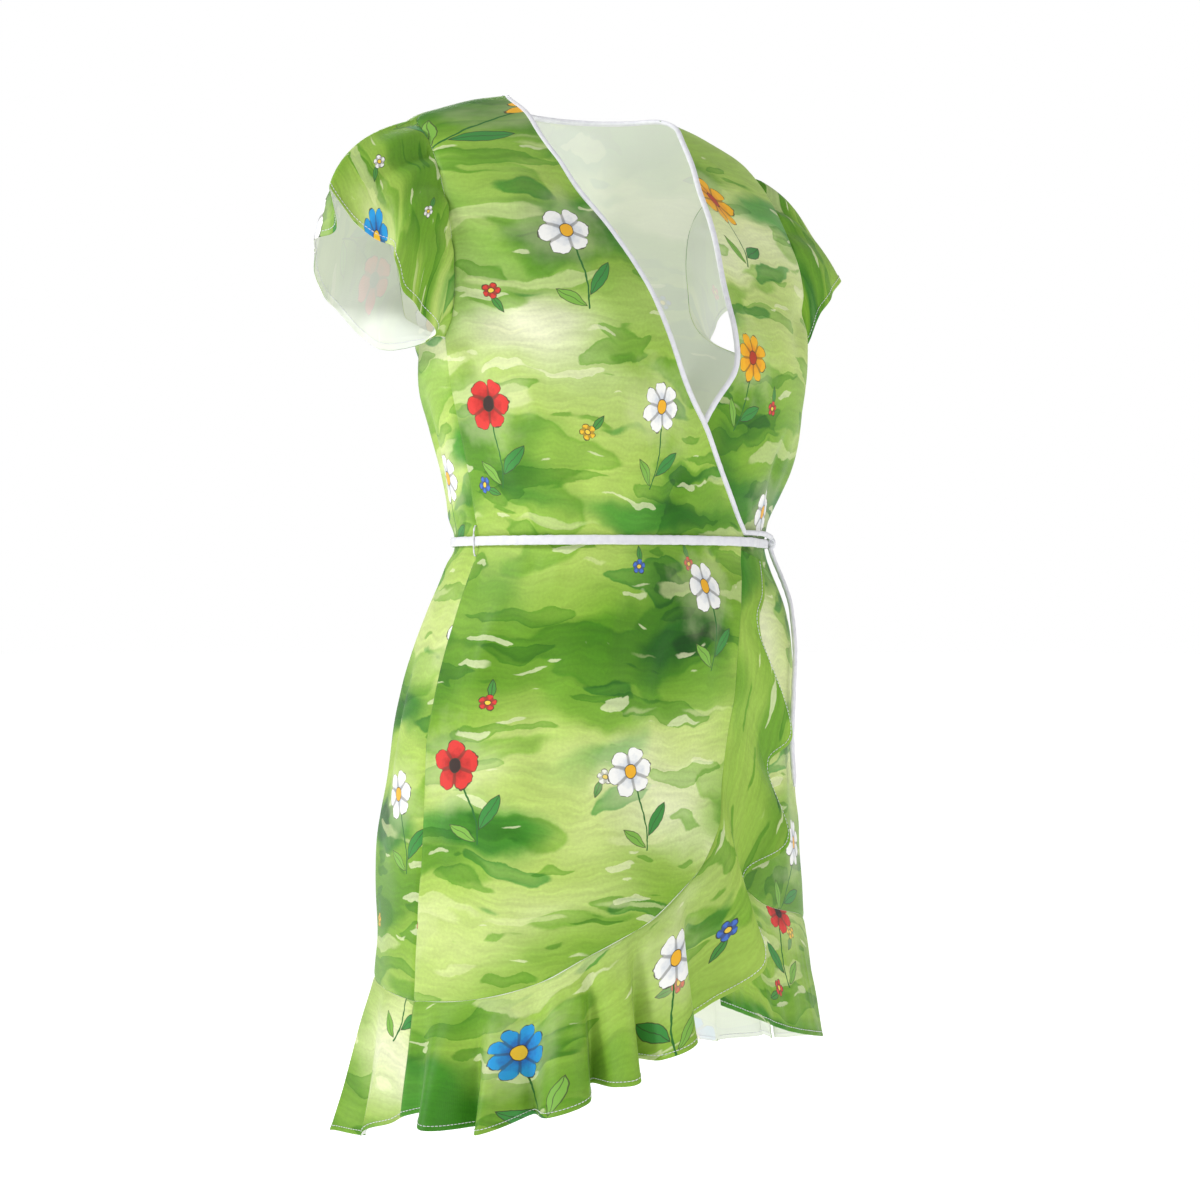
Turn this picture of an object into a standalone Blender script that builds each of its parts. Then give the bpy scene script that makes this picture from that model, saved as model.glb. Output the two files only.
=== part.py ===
"""Short-sleeved wrap dress with flutter sleeves and a flounce round its hem and wrap edge.

The dress keeps the hollow shape that it has when it is worn, with nothing inside it.
Each piece of cloth is a thin wall. Its points are worked out on one smooth figure, which
is read at an angle round the body and at a drop below the neck points, and are then moved
out from it by as much as the piece stands off.

Units are metres and Z is up. The front faces -Y and the wearer's left is +X. The origin
lies midway between the two neck points, at the top of the shoulder seams. An angle of 0 is
the centre front, 90 the wearer's left side, 180 the centre back and -90 the right side.
"""
import math
from bisect import bisect_right

import bmesh
import bpy
from mathutils import Vector

# ---------------------------------------------------------------- driving sizes
WALL = 0.0012            # thickness of the cloth walls
SEAM = 0.0003            # gap left between two pieces at a seam
WRAP_LIFT = 0.0062       # how far the over front lies outside the under front
BINDING_RADIUS = 0.0026  # half the width of the rolled neck binding
TIE_HEIGHT = 0.0084      # height of the flat tie round the waist
TIE_THICK = 0.0030
TIE_CLEAR = 0.0005       # between the tie and the cloth under it
LOOP_CLEAR = 0.0014      # between the ends of a belt loop and the cloth
TIE_END_RADIUS = 0.0033
LOOP_RADIUS = 0.0008

SHOULDER_DROP = 0.033    # shoulder points below the neck points
UNDERARM_DROP = 0.227
WAIST_BAND = (0.391, 0.409)  # the drops between which the tie lies on the cloth
WRAP_CORNER_DROP = 0.391
SIDE_DROP_RIGHT = 0.795  # flounce seam at the side seams
SIDE_DROP_LEFT = 0.765

# ---------------------------------------------------------------- the figure
# One row for each level: half the width, the depths in front of and behind the middle
# line, where the middle line lies, and how square the section is (2 is an ellipse).
FORM = (
    # drop   half_width  front   back   middle  squareness
    (-0.010, 0.070, 0.010, 0.060, 0.000, 2.00),
    (0.000, 0.090, 0.012, 0.066, 0.000, 2.00),
    (0.010, 0.131, 0.022, 0.070, 0.000, 2.00),
    (0.020, 0.161, 0.032, 0.0745, 0.000, 2.05),
    (0.031, 0.188, 0.041, 0.080, 0.000, 2.15),
    (0.050, 0.204, 0.055, 0.089, -0.002, 2.40),
    (0.077, 0.211, 0.069, 0.099, -0.007, 2.70),
    (0.115, 0.2115, 0.086, 0.110, -0.019, 2.75),
    (0.165, 0.208, 0.103, 0.118, -0.031, 2.75),
    (0.225, 0.194, 0.121, 0.126, -0.042, 2.60),
    (0.275, 0.186, 0.122, 0.126, -0.042, 2.50),
    (0.335, 0.168, 0.119, 0.117, -0.039, 2.30),
    (0.391, 0.153, 0.1155, 0.1185, -0.036, 2.05),
    (0.409, 0.153, 0.1158, 0.1190, -0.036, 2.05),
    (0.460, 0.173, 0.137, 0.143, -0.032, 2.05),
    (0.530, 0.191, 0.143, 0.165, -0.026, 2.10),
    (0.600, 0.199, 0.142, 0.176, -0.020, 2.10),
    (0.700, 0.203, 0.149, 0.182, -0.018, 2.10),
    (0.800, 0.207, 0.156, 0.190, -0.018, 2.10),
    (0.960, 0.215, 0.166, 0.198, -0.018, 2.10),
)

# ---------------------------------------------------------------- edges of the cut
# Armholes, from the shoulder point to the underarm, as angles from the centre front.
ARMHOLE_FRONT = (
    # share  angle   drop
    (0.00, 90.0, SHOULDER_DROP),
    (0.12, 83.8, 0.054),
    (0.27, 80.3, 0.081),
    (0.42, 79.3, 0.108),
    (0.55, 78.9, 0.130),
    (0.69, 79.2, 0.157),
    (0.82, 80.8, 0.183),
    (0.93, 84.8, 0.210),
    (1.00, 90.0, UNDERARM_DROP),
)
ARMHOLE_BACK = (
    (0.00, 90.0, SHOULDER_DROP),
    (0.12, 99.0, 0.048),
    (0.25, 106.5, 0.066),
    (0.38, 111.5, 0.090),
    (0.52, 114.5, 0.120),
    (0.65, 115.5, 0.150),
    (0.77, 115.5, 0.177),
    (0.86, 112.0, 0.198),
    (0.94, 103.0, 0.213),
    (1.00, 90.0, UNDERARM_DROP),
)
# Neck edges of the two fronts, from the neck point down to the waist corner. Angles run
# from the front's own side across the centre, so they turn negative past the centre.
NECK_OVER = (
    # share  angle   drop
    (0.000, 90.0, 0.000),
    (0.085, 71.5, 0.024),
    (0.196, 54.8, 0.069),
    (0.321, 42.0, 0.122),
    (0.446, 29.5, 0.175),
    (0.592, 19.8, 0.242),
    (0.673, 12.1, 0.275),
    (0.758, 2.3, 0.3035),
    (0.869, -10.1, 0.3455),
    (0.952, -20.5, 0.3755),
    (1.000, -26.5, WRAP_CORNER_DROP),
)
NECK_UNDER = (
    (0.000, 90.0, 0.000),
    (0.084, 70.0, 0.025),
    (0.157, 53.2, 0.057),
    (0.250, 40.0, 0.0935),
    (0.365, 28.3, 0.139),
    (0.480, 19.6, 0.187),
    (0.564, 15.8, 0.224),
    (0.601, 15.4, 0.241),
    (0.639, 13.0, 0.2555),
    (0.691, 6.2, 0.273),
    (0.749, -0.5, 0.2935),
    (0.875, -12.5, 0.3455),
    (1.000, -26.5, WRAP_CORNER_DROP),
)
# Flounce seam of the over front, from the right side seam along the bottom and then up
# the wrap edge to the waist corner.
SEAM_OVER = (
    # share  angle   drop
    (0.000, 90.0, SIDE_DROP_RIGHT),
    (0.110, 71.6, 0.7875),
    (0.190, 56.8, 0.7735),
    (0.265, 44.9, 0.753),
    (0.325, 35.9, 0.739),
    (0.390, 25.5, 0.7235),
    (0.450, 13.9, 0.699),
    (0.510, 4.6, 0.678),
    (0.565, -2.4, 0.649),
    (0.628, -4.9, 0.611),
    (0.702, -7.5, 0.565),
    (0.760, -9.0, 0.5295),
    (0.833, -10.2, 0.486),
    (0.890, -13.5, 0.452),
    (0.935, -19.9, 0.4265),
    (0.964, -23.6, 0.409),
    (1.000, -26.5, WRAP_CORNER_DROP),
)
OVER_CORNER_SHARE = 0.565  # where the bottom seam turns up into the wrap edge
# Flounce seam of the under front, from the left side seam to its hidden wrap edge.
SEAM_UNDER = (
    (0.00, 90.0, SIDE_DROP_LEFT),
    (0.22, 70.0, 0.753),
    (0.42, 52.0, 0.738),
    (0.69, 27.1, 0.7205),
    (0.84, 13.5, 0.697),
    (1.00, -1.0, 0.672),
)
WRAP_UNDER = (
    # share  angle   drop
    (0.00, -1.0, 0.672),
    (0.20, -6.0, 0.615),
    (0.50, -12.0, 0.530),
    (0.75, -19.0, 0.458),
    (0.9167, -25.0, 0.409),
    (1.00, -26.5, WRAP_CORNER_DROP),
)

# ---------------------------------------------------------------- flounces
# One row for each crest and trough of a flounce: where it leaves the seam, and where it
# meets the hem. The last column is how far the hem stands out from the figure there.
FLOUNCE_OVER = (
    # share  hem_angle  hem_drop  hem_out
    (0.000, 90.0, 0.893, 0.012),
    (0.025, 83.5, 0.886, 0.009),
    (0.060, 73.8, 0.8945, 0.038),
    (0.110, 69.5, 0.887, 0.009),
    (0.145, 62.2, 0.891, 0.036),
    (0.180, 58.9, 0.874, 0.006),
    (0.225, 49.6, 0.873, 0.035),
    (0.270, 45.8, 0.8575, 0.006),
    (0.320, 38.9, 0.853, 0.035),
    (0.365, 31.2, 0.834, 0.006),
    (0.440, 18.8, 0.8240, 0.033),
    (0.500, 6.7, 0.799, 0.006),
    (0.550, -8.4, 0.768, 0.030),
    (0.632, -10.8, 0.6955, 0.007),
    (0.697, -28.1, 0.666, 0.020),
    (0.757, -28.0, 0.599, 0.005),
    (0.818, -31.6, 0.565, 0.018),
    (0.878, -20.0, 0.476, 0.004),
    (0.920, -26.0, 0.450, 0.006),
    (0.964, -34.5, 0.420, 0.005),
    (1.000, -36.0, 0.400, 0.005),
)
FLOUNCE_UNDER = (
    (0.00, 90.0, 0.876, 0.012),
    (0.05, 85.5, 0.873, 0.009),
    (0.16, 76.0, 0.866, 0.020),
    (0.28, 64.0, 0.857, 0.011),
    (0.45, 48.5, 0.848, 0.016),
    (0.64, 31.0, 0.834, 0.009),
    (0.79, 18.0, 0.8195, 0.007),
    (0.90, 9.0, 0.8095, 0.004),
    (1.00, 1.0, 0.801, 0.003),
)
FLOUNCE_TOP_SHARE = 0.965  # the cascade starts a little below the waist tie
BACK_FLUTES = 10
BACK_HEM = (
    # share  drop, from the left side seam round to the right one
    (0.00, 0.876),
    (0.07, 0.884),
    (0.25, 0.902),
    (0.50, 0.916),
    (0.80, 0.925),
    (0.93, 0.917),
    (1.00, 0.893),
)
FLUTE_TROUGH = 0.012
FLUTE_CREST = 0.025
FLUTE_SWAY = 2.6           # degrees by which a flute's sides lean over its trough
FLARE_POWER = 1.35         # how late a flounce turns away from the figure
RIB_TURN = 0.75            # how soon its ribs turn sideways from the seam
RIB_FALL = 1.15            # and how late they fall

# ---------------------------------------------------------------- sleeves
# One row for each place round the armhole, from the underarm up the front, over the
# shoulder point at 0.5 and down the back. The other columns are where the hem lies there:
# how far to the side, how far back (the front is negative) and how far down.
SLEEVE_RIGHT = (
    # share  side    back    drop
    (0.00, 0.2060, -0.034, 0.2340),
    (0.06, 0.2130, -0.054, 0.2250),
    (0.14, 0.2352, -0.067, 0.2103),
    (0.22, 0.2600, -0.076, 0.1950),
    (0.28, 0.2675, -0.075, 0.1730),
    (0.34, 0.2645, -0.066, 0.1570),
    (0.39, 0.2745, -0.053, 0.1500),
    (0.44, 0.2850, -0.037, 0.1350),
    (0.50, 0.2960, -0.018, 0.1045),
    (0.55, 0.2620, 0.018, 0.1340),
    (0.61, 0.2640, 0.048, 0.1420),
    (0.70, 0.2480, 0.068, 0.1720),
    (0.79, 0.2220, 0.078, 0.1950),
    (0.87, 0.2055, 0.062, 0.2200),
    (0.94, 0.2065, 0.022, 0.2345),
    (1.00, 0.2060, -0.034, 0.2340),
)
SLEEVE_LEFT = (
    (0.00, 0.2080, -0.034, 0.2350),
    (0.06, 0.2110, -0.060, 0.2220),
    (0.14, 0.2200, -0.068, 0.1960),
    (0.23, 0.2420, -0.067, 0.1680),
    (0.31, 0.2660, -0.058, 0.1470),
    (0.39, 0.2840, -0.044, 0.1330),
    (0.46, 0.2760, -0.020, 0.1260),
    (0.53, 0.2880, 0.008, 0.1260),
    (0.60, 0.2720, 0.040, 0.1420),
    (0.67, 0.2700, 0.062, 0.1560),
    (0.75, 0.2450, 0.072, 0.1820),
    (0.83, 0.2300, 0.080, 0.2080),
    (0.90, 0.2120, 0.056, 0.2310),
    (0.95, 0.2090, 0.014, 0.2370),
    (1.00, 0.2080, -0.034, 0.2350),
)
SLEEVE_REACH_SIDE = 0.42   # how far along its length a sleeve keeps its first direction
SLEEVE_REACH_CAP = 0.62

# ---------------------------------------------------------------- tie
KNOT_ANGLE = 63.0
KNOT_HALF = (0.0060, 0.0050, 0.0062)
TIE_END_ROUTE = (
    # angle  drop    out
    (62.0, 0.4084, 0.0068),
    (62.0, 0.4150, 0.0072),
    (60.5, 0.4270, 0.0078),
    (55.0, 0.4500, 0.0076),
    (47.5, 0.4850, 0.0070),
    (44.0, 0.5300, 0.0070),
    (44.2, 0.5700, 0.0070),
    (45.8, 0.6200, 0.0070),
)
LOOP_REACH = 0.0130        # half the height of a belt loop

# ---------------------------------------------------------------- mesh counts
PANEL_COLUMNS = 14
PANEL_ROWS = 26            # of a front, counted from its shoulder seam
UNDERARM_ROW = 8           # the row of a front that meets the underarm
WAIST_ROW = 14             # the row that meets the waist corner of the wrap
SHOULDER_ROWS = 3          # more rows of the back, beside the shoulder seams
BACK_COLUMNS = 20
SEAM_SPLITS = 4            # flounce columns for each column of the panel above
FLOUNCE_ROWS = 5
SLEEVE_ROWS = 6
ARMHOLE_SPLITS = 3

COLLECTION = "wrap_dress"
PRINTED_CLOTH = ("printed_satin", (0.35, 0.55, 0.14, 1.0), 0.55)
WHITE_CLOTH = ("white_satin", (0.86, 0.86, 0.88, 1.0), 0.50)


# ---------------------------------------------------------------- reading the tables
def read_table(rows, place):
    """Read a table at a place in its first column, along smooth curves through its rows."""
    last = len(rows) - 1
    i = min(max(bisect_right([row[0] for row in rows], place) - 1, 0), last - 1)
    step = rows[i + 1][0] - rows[i][0]
    x = min(max((place - rows[i][0]) / step, 0.0), 1.0)

    def slope(j, column):
        low, high = rows[max(j - 1, 0)], rows[min(j + 1, last)]
        return (high[column] - low[column]) / (high[0] - low[0]) * step

    values = []
    for column in range(1, len(rows[0])):
        start, end = rows[i][column], rows[i + 1][column]
        values.append((2 * x**3 - 3 * x**2 + 1) * start + (3 * x**2 - 2 * x**3) * end
                      + (x**3 - 2 * x**2 + x) * slope(i, column)
                      + (x**3 - x**2) * slope(i + 1, column))
    return values


def ease(value, low, high):
    """Go smoothly from 0 at low to 1 at high."""
    x = min(max((value - low) / (high - low), 0.0), 1.0)
    return x * x * (3 - 2 * x)


# ---------------------------------------------------------------- the figure
def form_point(angle, drop):
    half_width, front, back, middle, squareness = read_table(FORM, drop)
    s, c = math.sin(math.radians(angle)), math.cos(math.radians(angle))
    depth = front if c > 0 else back
    radius = ((abs(s) / half_width) ** squareness
              + (abs(c) / depth) ** squareness) ** (-1 / squareness)
    return Vector((radius * s, middle - radius * c, -drop))


def form_normal(angle, drop):
    along = form_point(angle + 0.5, drop) - form_point(angle - 0.5, drop)
    down = form_point(angle, drop + 0.001) - form_point(angle, drop - 0.001)
    return down.cross(along).normalized()


def cloth_point(angle, drop, out=0.0):
    return form_point(angle, drop) + form_normal(angle, drop) * out


def wrap_lift(angle, drop):
    """How far the over front's wall lies from the figure: nothing at its own side seam."""
    return WRAP_LIFT * ease(angle, -86.0, -42.0) * ease(drop, 0.0, 0.12)


def no_lift(angle, drop):
    return 0.0


# ---------------------------------------------------------------- building walls
def make_material(name, colour, roughness):
    material = bpy.data.materials.get(name)
    if material is None:
        material = bpy.data.materials.new(name)
        material.use_nodes = True
        shader = material.node_tree.nodes["Principled BSDF"]
        shader.inputs["Base Color"].default_value = colour
        shader.inputs["Roughness"].default_value = roughness
        shader.inputs["Metallic"].default_value = 0.0
    return material


def add_object(name, data, finish):
    data.materials.append(make_material(*finish))
    piece = bpy.data.objects.new(name, data)
    bpy.data.collections[COLLECTION].objects.link(piece)
    piece.parent = bpy.data.objects["dress_frame"]
    return piece


def wall_from_grid(name, grid, grow, finish, ring=False):
    """Make a wall from a grid of points, seen from outside with its first row at the top.

    grow is 1 where the points are the wall's inner face, and -1 where they are its outer
    one. A ring's rows close on themselves.
    """
    shell = bmesh.new()
    rows = [[shell.verts.new(point) for point in row] for row in grid]
    count = len(grid[0])
    for upper, lower in zip(rows, rows[1:]):
        for i in range(count if ring else count - 1):
            j = (i + 1) % count
            shell.faces.new((upper[i], lower[i], lower[j], upper[j]))
    mesh = bpy.data.meshes.new(name)
    shell.to_mesh(mesh)
    shell.free()
    mesh.shade_smooth()
    piece = add_object(name, mesh, finish)
    solidify = piece.modifiers.new("wall", "SOLIDIFY")
    solidify.thickness = WALL
    solidify.offset = grow
    solidify.use_even_offset = True
    return piece


def blend_grid(left, right, bottom, columns, rows):
    """Fill the space between a panel's edges with a grid of (angle, drop) places.

    The rows run straight from the left edge to the right one as far as the waist band.
    Below it they bend more and more, until the last one follows the bottom edge.
    """
    grid = []
    for row in range(rows + 1):
        v = row / rows
        start, end = left(v), right(v)
        bend = max(0.0, (row - rows + PANEL_ROWS - WAIST_ROW - 1)
                   / (PANEL_ROWS - WAIST_ROW - 1)) ** 1.5
        line = []
        for column in range(columns + 1):
            u = column / columns
            line.append(tuple(
                (1 - u) * start[k] + u * end[k]
                + bend * (bottom(u)[k] - (1 - u) * bottom(0)[k] - u * bottom(1)[k])
                for k in range(2)))
        grid.append(line)
    return grid


def lay(grid, lift):
    return [[cloth_point(angle, drop, lift(angle, drop)) for angle, drop in line]
            for line in grid]


def trim(points, edge, distance, low=0, high=None):
    """Take a strip of even width off one edge of a grid of points.

    Each point on the edge moves towards the next point in from it, and further where the
    two meet at a slant. low and high count the rows or columns that the strip covers.
    """
    if edge in ("left", "right"):
        points_on = [row[::-1] if edge == "right" else row for row in points]
    else:
        order = points if edge == "top" else points[::-1]
        points_on = [list(line) for line in zip(*order)]
    high = len(points_on) if high is None else high
    moved = []
    for i in range(low, high):
        step = (points_on[i][1] - points_on[i][0]).normalized()
        beside = [points_on[j][0] - points_on[i][0] for j in (i - 1, i + 1) if low <= j < high]
        slant = min(step.cross(way.normalized()).length for way in beside)
        moved.append(points_on[i][0] + step * distance / max(slant, 0.4))
    for i, point in zip(range(low, high), moved):
        if edge in ("left", "right"):
            points[i][0 if edge == "left" else -1] = point
        else:
            points[0 if edge == "top" else -1][i] = point


# ---------------------------------------------------------------- fronts and back
def side_edge(armhole, bottom_drop):
    """A front's side: down its armhole and then down the side seam."""
    underarm, waist = UNDERARM_ROW / PANEL_ROWS, WAIST_ROW / PANEL_ROWS
    below = (WAIST_ROW + 1) / PANEL_ROWS
    line = ((underarm, UNDERARM_DROP), (waist, WAIST_BAND[0]), (below, WAIST_BAND[1]),
            (1.0, bottom_drop))

    def edge(v):
        if v < underarm:
            return read_table(armhole, v / underarm)
        i = 0 if v < waist else 1 if v < below else 2
        return (90.0, read_table(line[i:i + 2], v)[0])
    return edge


def wrap_side(neck, lower_edge):
    """A front's wrap edge: down the neck edge to the waist and then down the skirt."""
    waist = WAIST_ROW / PANEL_ROWS

    def edge(v):
        if v < waist:
            return read_table(neck, v / waist)
        return lower_edge((v - waist) / (1 - waist))
    return edge


def front_panel(side, neck, bottom, lower_edge, lift, bottom_drop):
    """Work out a front's grid. side is 1 for the wearer's left and -1 for the right."""
    places = blend_grid(side_edge(ARMHOLE_FRONT, bottom_drop), wrap_side(neck, lower_edge),
                        bottom, PANEL_COLUMNS, PANEL_ROWS)
    return lay([[(angle * side, drop) for angle, drop in line] for line in places], lift)


def over_front_points():
    return front_panel(
        -1, NECK_OVER,
        lambda u: read_table(SEAM_OVER, u * OVER_CORNER_SHARE),
        lambda t: read_table(SEAM_OVER, 1 - t * (1 - OVER_CORNER_SHARE)),
        wrap_lift, SIDE_DROP_RIGHT)


def under_front_points():
    return front_panel(
        1, NECK_UNDER,
        lambda u: read_table(SEAM_UNDER, u),
        lambda t: read_table(WRAP_UNDER, 1 - t),
        no_lift, SIDE_DROP_LEFT)


def back_bottom(u):
    """The back's flounce seam, from the left side seam round to the right one."""
    return (90.0 + 180.0 * u, SIDE_DROP_LEFT + (SIDE_DROP_RIGHT - SIDE_DROP_LEFT) * u)


def back_points():
    """The back's grid: its first row is the neck edge, and runs from left to right."""
    count = PANEL_ROWS + SHOULDER_ROWS
    left, right = side_edge(ARMHOLE_BACK, SIDE_DROP_LEFT), side_edge(ARMHOLE_BACK, SIDE_DROP_RIGHT)

    def down(side_line, v):
        row = v * count - SHOULDER_ROWS
        if row < 0:
            return (90.0, SHOULDER_DROP * (1 + row / SHOULDER_ROWS))
        return side_line(row / PANEL_ROWS)

    def down_right(v):
        angle, drop = down(right, v)
        return (360.0 - angle, drop)

    return lay(blend_grid(lambda v: down(left, v), down_right, back_bottom,
                          BACK_COLUMNS, count), no_lift)


def finish_front(name, points, side):
    """Trim a front at its seams and under its binding, and make its wall."""
    trim(points, "right", BINDING_RADIUS + SEAM, 0, WAIST_ROW + 1)
    trim(points, "right", SEAM / 2, WAIST_ROW + 1)
    trim(points, "left", SEAM / 2)
    trim(points, "top", SEAM / 2)
    trim(points, "bottom", SEAM / 2)
    if side > 0:
        points = [row[::-1] for row in points]
    return wall_from_grid(name, points, 1, PRINTED_CLOTH)


def finish_back(points):
    trim(points, "top", BINDING_RADIUS + SEAM)
    trim(points, "left", SEAM / 2)
    trim(points, "right", SEAM / 2)
    trim(points, "bottom", SEAM / 2)
    return wall_from_grid("back", points, 1, PRINTED_CLOTH)


# ---------------------------------------------------------------- flounces
def split_line(points, splits):
    """Put more points on the straight runs between those of a line."""
    line = []
    for start, end in zip(points, points[1:]):
        line += [start.lerp(end, k / splits) for k in range(splits)]
    return line + [points[-1]]


def flounce_points(seam_line, seam_places, ribs, side, lift):
    """Run ribs from each place on the seam to the hem.

    seam_line is the panel's own edge. seam_places gives each point of it as share,
    angle and drop, and ribs reads the hem's angle, drop and distance out at a share.
    """
    grid = [[] for _ in range(FLOUNCE_ROWS + 1)]
    for point, (share, angle, drop) in zip(seam_line, seam_places):
        hem_angle, hem_drop, hem_out = ribs(share)
        start_off = point - cloth_point(angle * side, drop, lift(angle * side, drop))
        for row in range(FLOUNCE_ROWS + 1):
            w = row / FLOUNCE_ROWS
            here = (angle + (hem_angle - angle) * w ** RIB_TURN) * side
            down = drop + (hem_drop - drop) * w ** RIB_FALL
            out = lift(here, down) + hem_out * w ** FLARE_POWER
            grid[row].append(cloth_point(here, down, out) + start_off * (1 - w))
    return grid


def seam_samples(table, low, high, columns):
    """Places along a seam, with as many between two panel columns as it is split into."""
    count = columns * SEAM_SPLITS
    places = []
    for i in range(count + 1):
        share = low + (high - low) * i / count
        places.append((share, *read_table(table, share)))
    return places


def make_over_flounce(points):
    """The over front's flounce: along the bottom, then up the wrap edge as a cascade."""
    bottom = points[-1]
    wrap = [row[-1] for row in points[WAIST_ROW:]][::-1]
    line = split_line(bottom, SEAM_SPLITS) + split_line(wrap, SEAM_SPLITS)[1:]
    places = seam_samples(SEAM_OVER, 0.0, OVER_CORNER_SHARE, PANEL_COLUMNS)
    rows_below = PANEL_ROWS - WAIST_ROW
    places += seam_samples(SEAM_OVER, OVER_CORNER_SHARE, 1.0, rows_below)[1:]
    kept = [i for i, place in enumerate(places) if place[0] <= FLOUNCE_TOP_SHARE]
    grid = flounce_points([line[i] for i in kept], [places[i] for i in kept],
                          lambda share: read_table(FLOUNCE_OVER, share), -1, wrap_lift)
    trim(grid, "top", SEAM)
    trim(grid, "left", SEAM / 2)
    return wall_from_grid("flounce_over", grid, 1, PRINTED_CLOTH)


def make_under_flounce(points):
    line = split_line(points[-1], SEAM_SPLITS)
    places = seam_samples(SEAM_UNDER, 0.0, 1.0, PANEL_COLUMNS)
    grid = flounce_points(line, places, lambda share: read_table(FLOUNCE_UNDER, share),
                          1, no_lift)
    trim(grid, "top", SEAM)
    trim(grid, "left", SEAM / 2)
    return wall_from_grid("flounce_under", [row[::-1] for row in grid], 1, PRINTED_CLOTH)


def back_rib(share):
    """The back hem, whose flutes vary a little in depth: share runs left to right."""
    phase = 2 * math.pi * BACK_FLUTES * share
    edge = ease(share, 0.0, 0.03) * ease(1 - share, 0.0, 0.03)
    depth = 0.82 + 0.18 * math.sin(5.3 * share * math.pi + 0.6)
    out = FLUTE_TROUGH + (FLUTE_CREST - FLUTE_TROUGH) * depth * (0.5 - 0.5 * math.cos(phase))
    angle = 90.0 + 180.0 * share - FLUTE_SWAY * math.sin(2 * phase) * edge * 0.5
    return (angle, read_table(BACK_HEM, share)[0], out)


def make_back_flounce(points):
    line = split_line(points[-1], SEAM_SPLITS)
    count = BACK_COLUMNS * SEAM_SPLITS
    places = []
    for i in range(count + 1):
        places.append((i / count, *back_bottom(i / count)))
    grid = flounce_points(line, places, back_rib, 1, no_lift)
    trim(grid, "top", SEAM)
    trim(grid, "left", SEAM / 2)
    trim(grid, "right", SEAM / 2)
    return wall_from_grid("flounce_back", grid, 1, PRINTED_CLOTH)


# ---------------------------------------------------------------- sleeves
def make_sleeve(name, side, front_line, back_line, hem):
    """A flutter sleeve: a ring of ribs from the armhole out and down to the hem.

    front_line and back_line are the armhole edges of the two panels, from the shoulder
    point down to the underarm.
    """
    up_front = split_line(front_line[::-1], ARMHOLE_SPLITS)
    down_back = split_line(back_line, ARMHOLE_SPLITS)
    ring = ([(point, 0.5 * i / (len(up_front) - 1)) for i, point in enumerate(up_front)]
            + [(point, 0.5 + 0.5 * i / (len(down_back) - 1))
               for i, point in enumerate(down_back)][1:-1])
    middle = sum((point for point, _ in ring), Vector()) / len(ring)
    grid = [[] for _ in range(SLEEVE_ROWS + 1)]
    for point, share in ring:
        start = point + (middle - point).normalized() * SEAM
        to_side, back, drop = read_table(hem, share)
        end = Vector((to_side * side, back, -drop))
        cap = ease(share, 0.22, 0.5) * ease(1 - share, 0.22, 0.5)
        lean = 0.55 * (share - 0.5) * (1 - cap)
        first = Vector((side, 2 * lean, 0.10 - 0.40 * cap)).normalized()
        reach = SLEEVE_REACH_SIDE + (SLEEVE_REACH_CAP - SLEEVE_REACH_SIDE) * cap
        bend = start + first * (end - start).length * reach
        for row in range(SLEEVE_ROWS + 1):
            w = row / SLEEVE_ROWS
            grid[row].append((1 - w) ** 2 * start + 2 * w * (1 - w) * bend + w * w * end)
    if side < 0:
        grid = [row[::-1] for row in grid]
    return wall_from_grid(name, grid, -1, PRINTED_CLOTH, ring=True)


# ---------------------------------------------------------------- binding, tie and loops
def add_curve(name, points, radius, finish, half_extra=0.0, resolution=2):
    """A closed tube along points, or a flat band where half_extra makes it taller."""
    curve = bpy.data.curves.new(name, "CURVE")
    curve.dimensions = "3D"
    curve.twist_mode = "Z_UP"
    curve.bevel_depth = radius
    curve.bevel_resolution = resolution
    curve.extrude = half_extra
    curve.use_fill_caps = True
    spline = curve.splines.new("POLY")
    spline.points.add(len(points) - 1)
    for spot, point in zip(spline.points, points):
        spot.co = (*point, 1.0)
    return add_object(name, curve, finish)


def smooth_route(points, count):
    """Read count points evenly from a smooth curve through the route's own points."""
    rows = [(i / (len(points) - 1), *point) for i, point in enumerate(points)]
    return [Vector(read_table(rows, i / (count - 1))) for i in range(count)]


def make_binding():
    """One binding: up the over front's neck edge, round the back neck, down the under's."""
    half_wall = WALL / 2

    def centre(angle, drop, lift):
        return cloth_point(angle, drop, lift + half_wall)

    route = []
    for row in range(WAIST_ROW, 0, -1):
        angle, drop = read_table(NECK_OVER, row / WAIST_ROW)
        route.append(centre(-angle, drop, wrap_lift(-angle, drop)))
    for i in range(BACK_COLUMNS + 1):
        route.append(centre(270.0 - 180.0 * i / BACK_COLUMNS, 0.0, 0.0))
    for row in range(1, WAIST_ROW + 1):
        angle, drop = read_table(NECK_UNDER, row / WAIST_ROW)
        route.append(centre(angle, drop, 0.0))
    return add_curve("neck_binding", route, BINDING_RADIUS, WHITE_CLOTH)


def band_point(angle, out):
    """A point half way down the waist band, where the walls under the tie are straight."""
    return cloth_point(angle, WAIST_BAND[0], out).lerp(
        cloth_point(angle, WAIST_BAND[1], out), 0.5)


def tie_out(angle):
    """Distance of the tie's middle from the figure: further where it crosses the wrap."""
    lift = WRAP_LIFT * ease(angle, -88.0, -50.0) * ease(-angle, -44.0, -30.0)
    return lift + WALL + TIE_CLEAR + TIE_THICK / 2


def knot_centre():
    return band_point(KNOT_ANGLE, WALL + TIE_CLEAR + KNOT_HALF[1]) + Vector((0, 0, 0.001))


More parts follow.
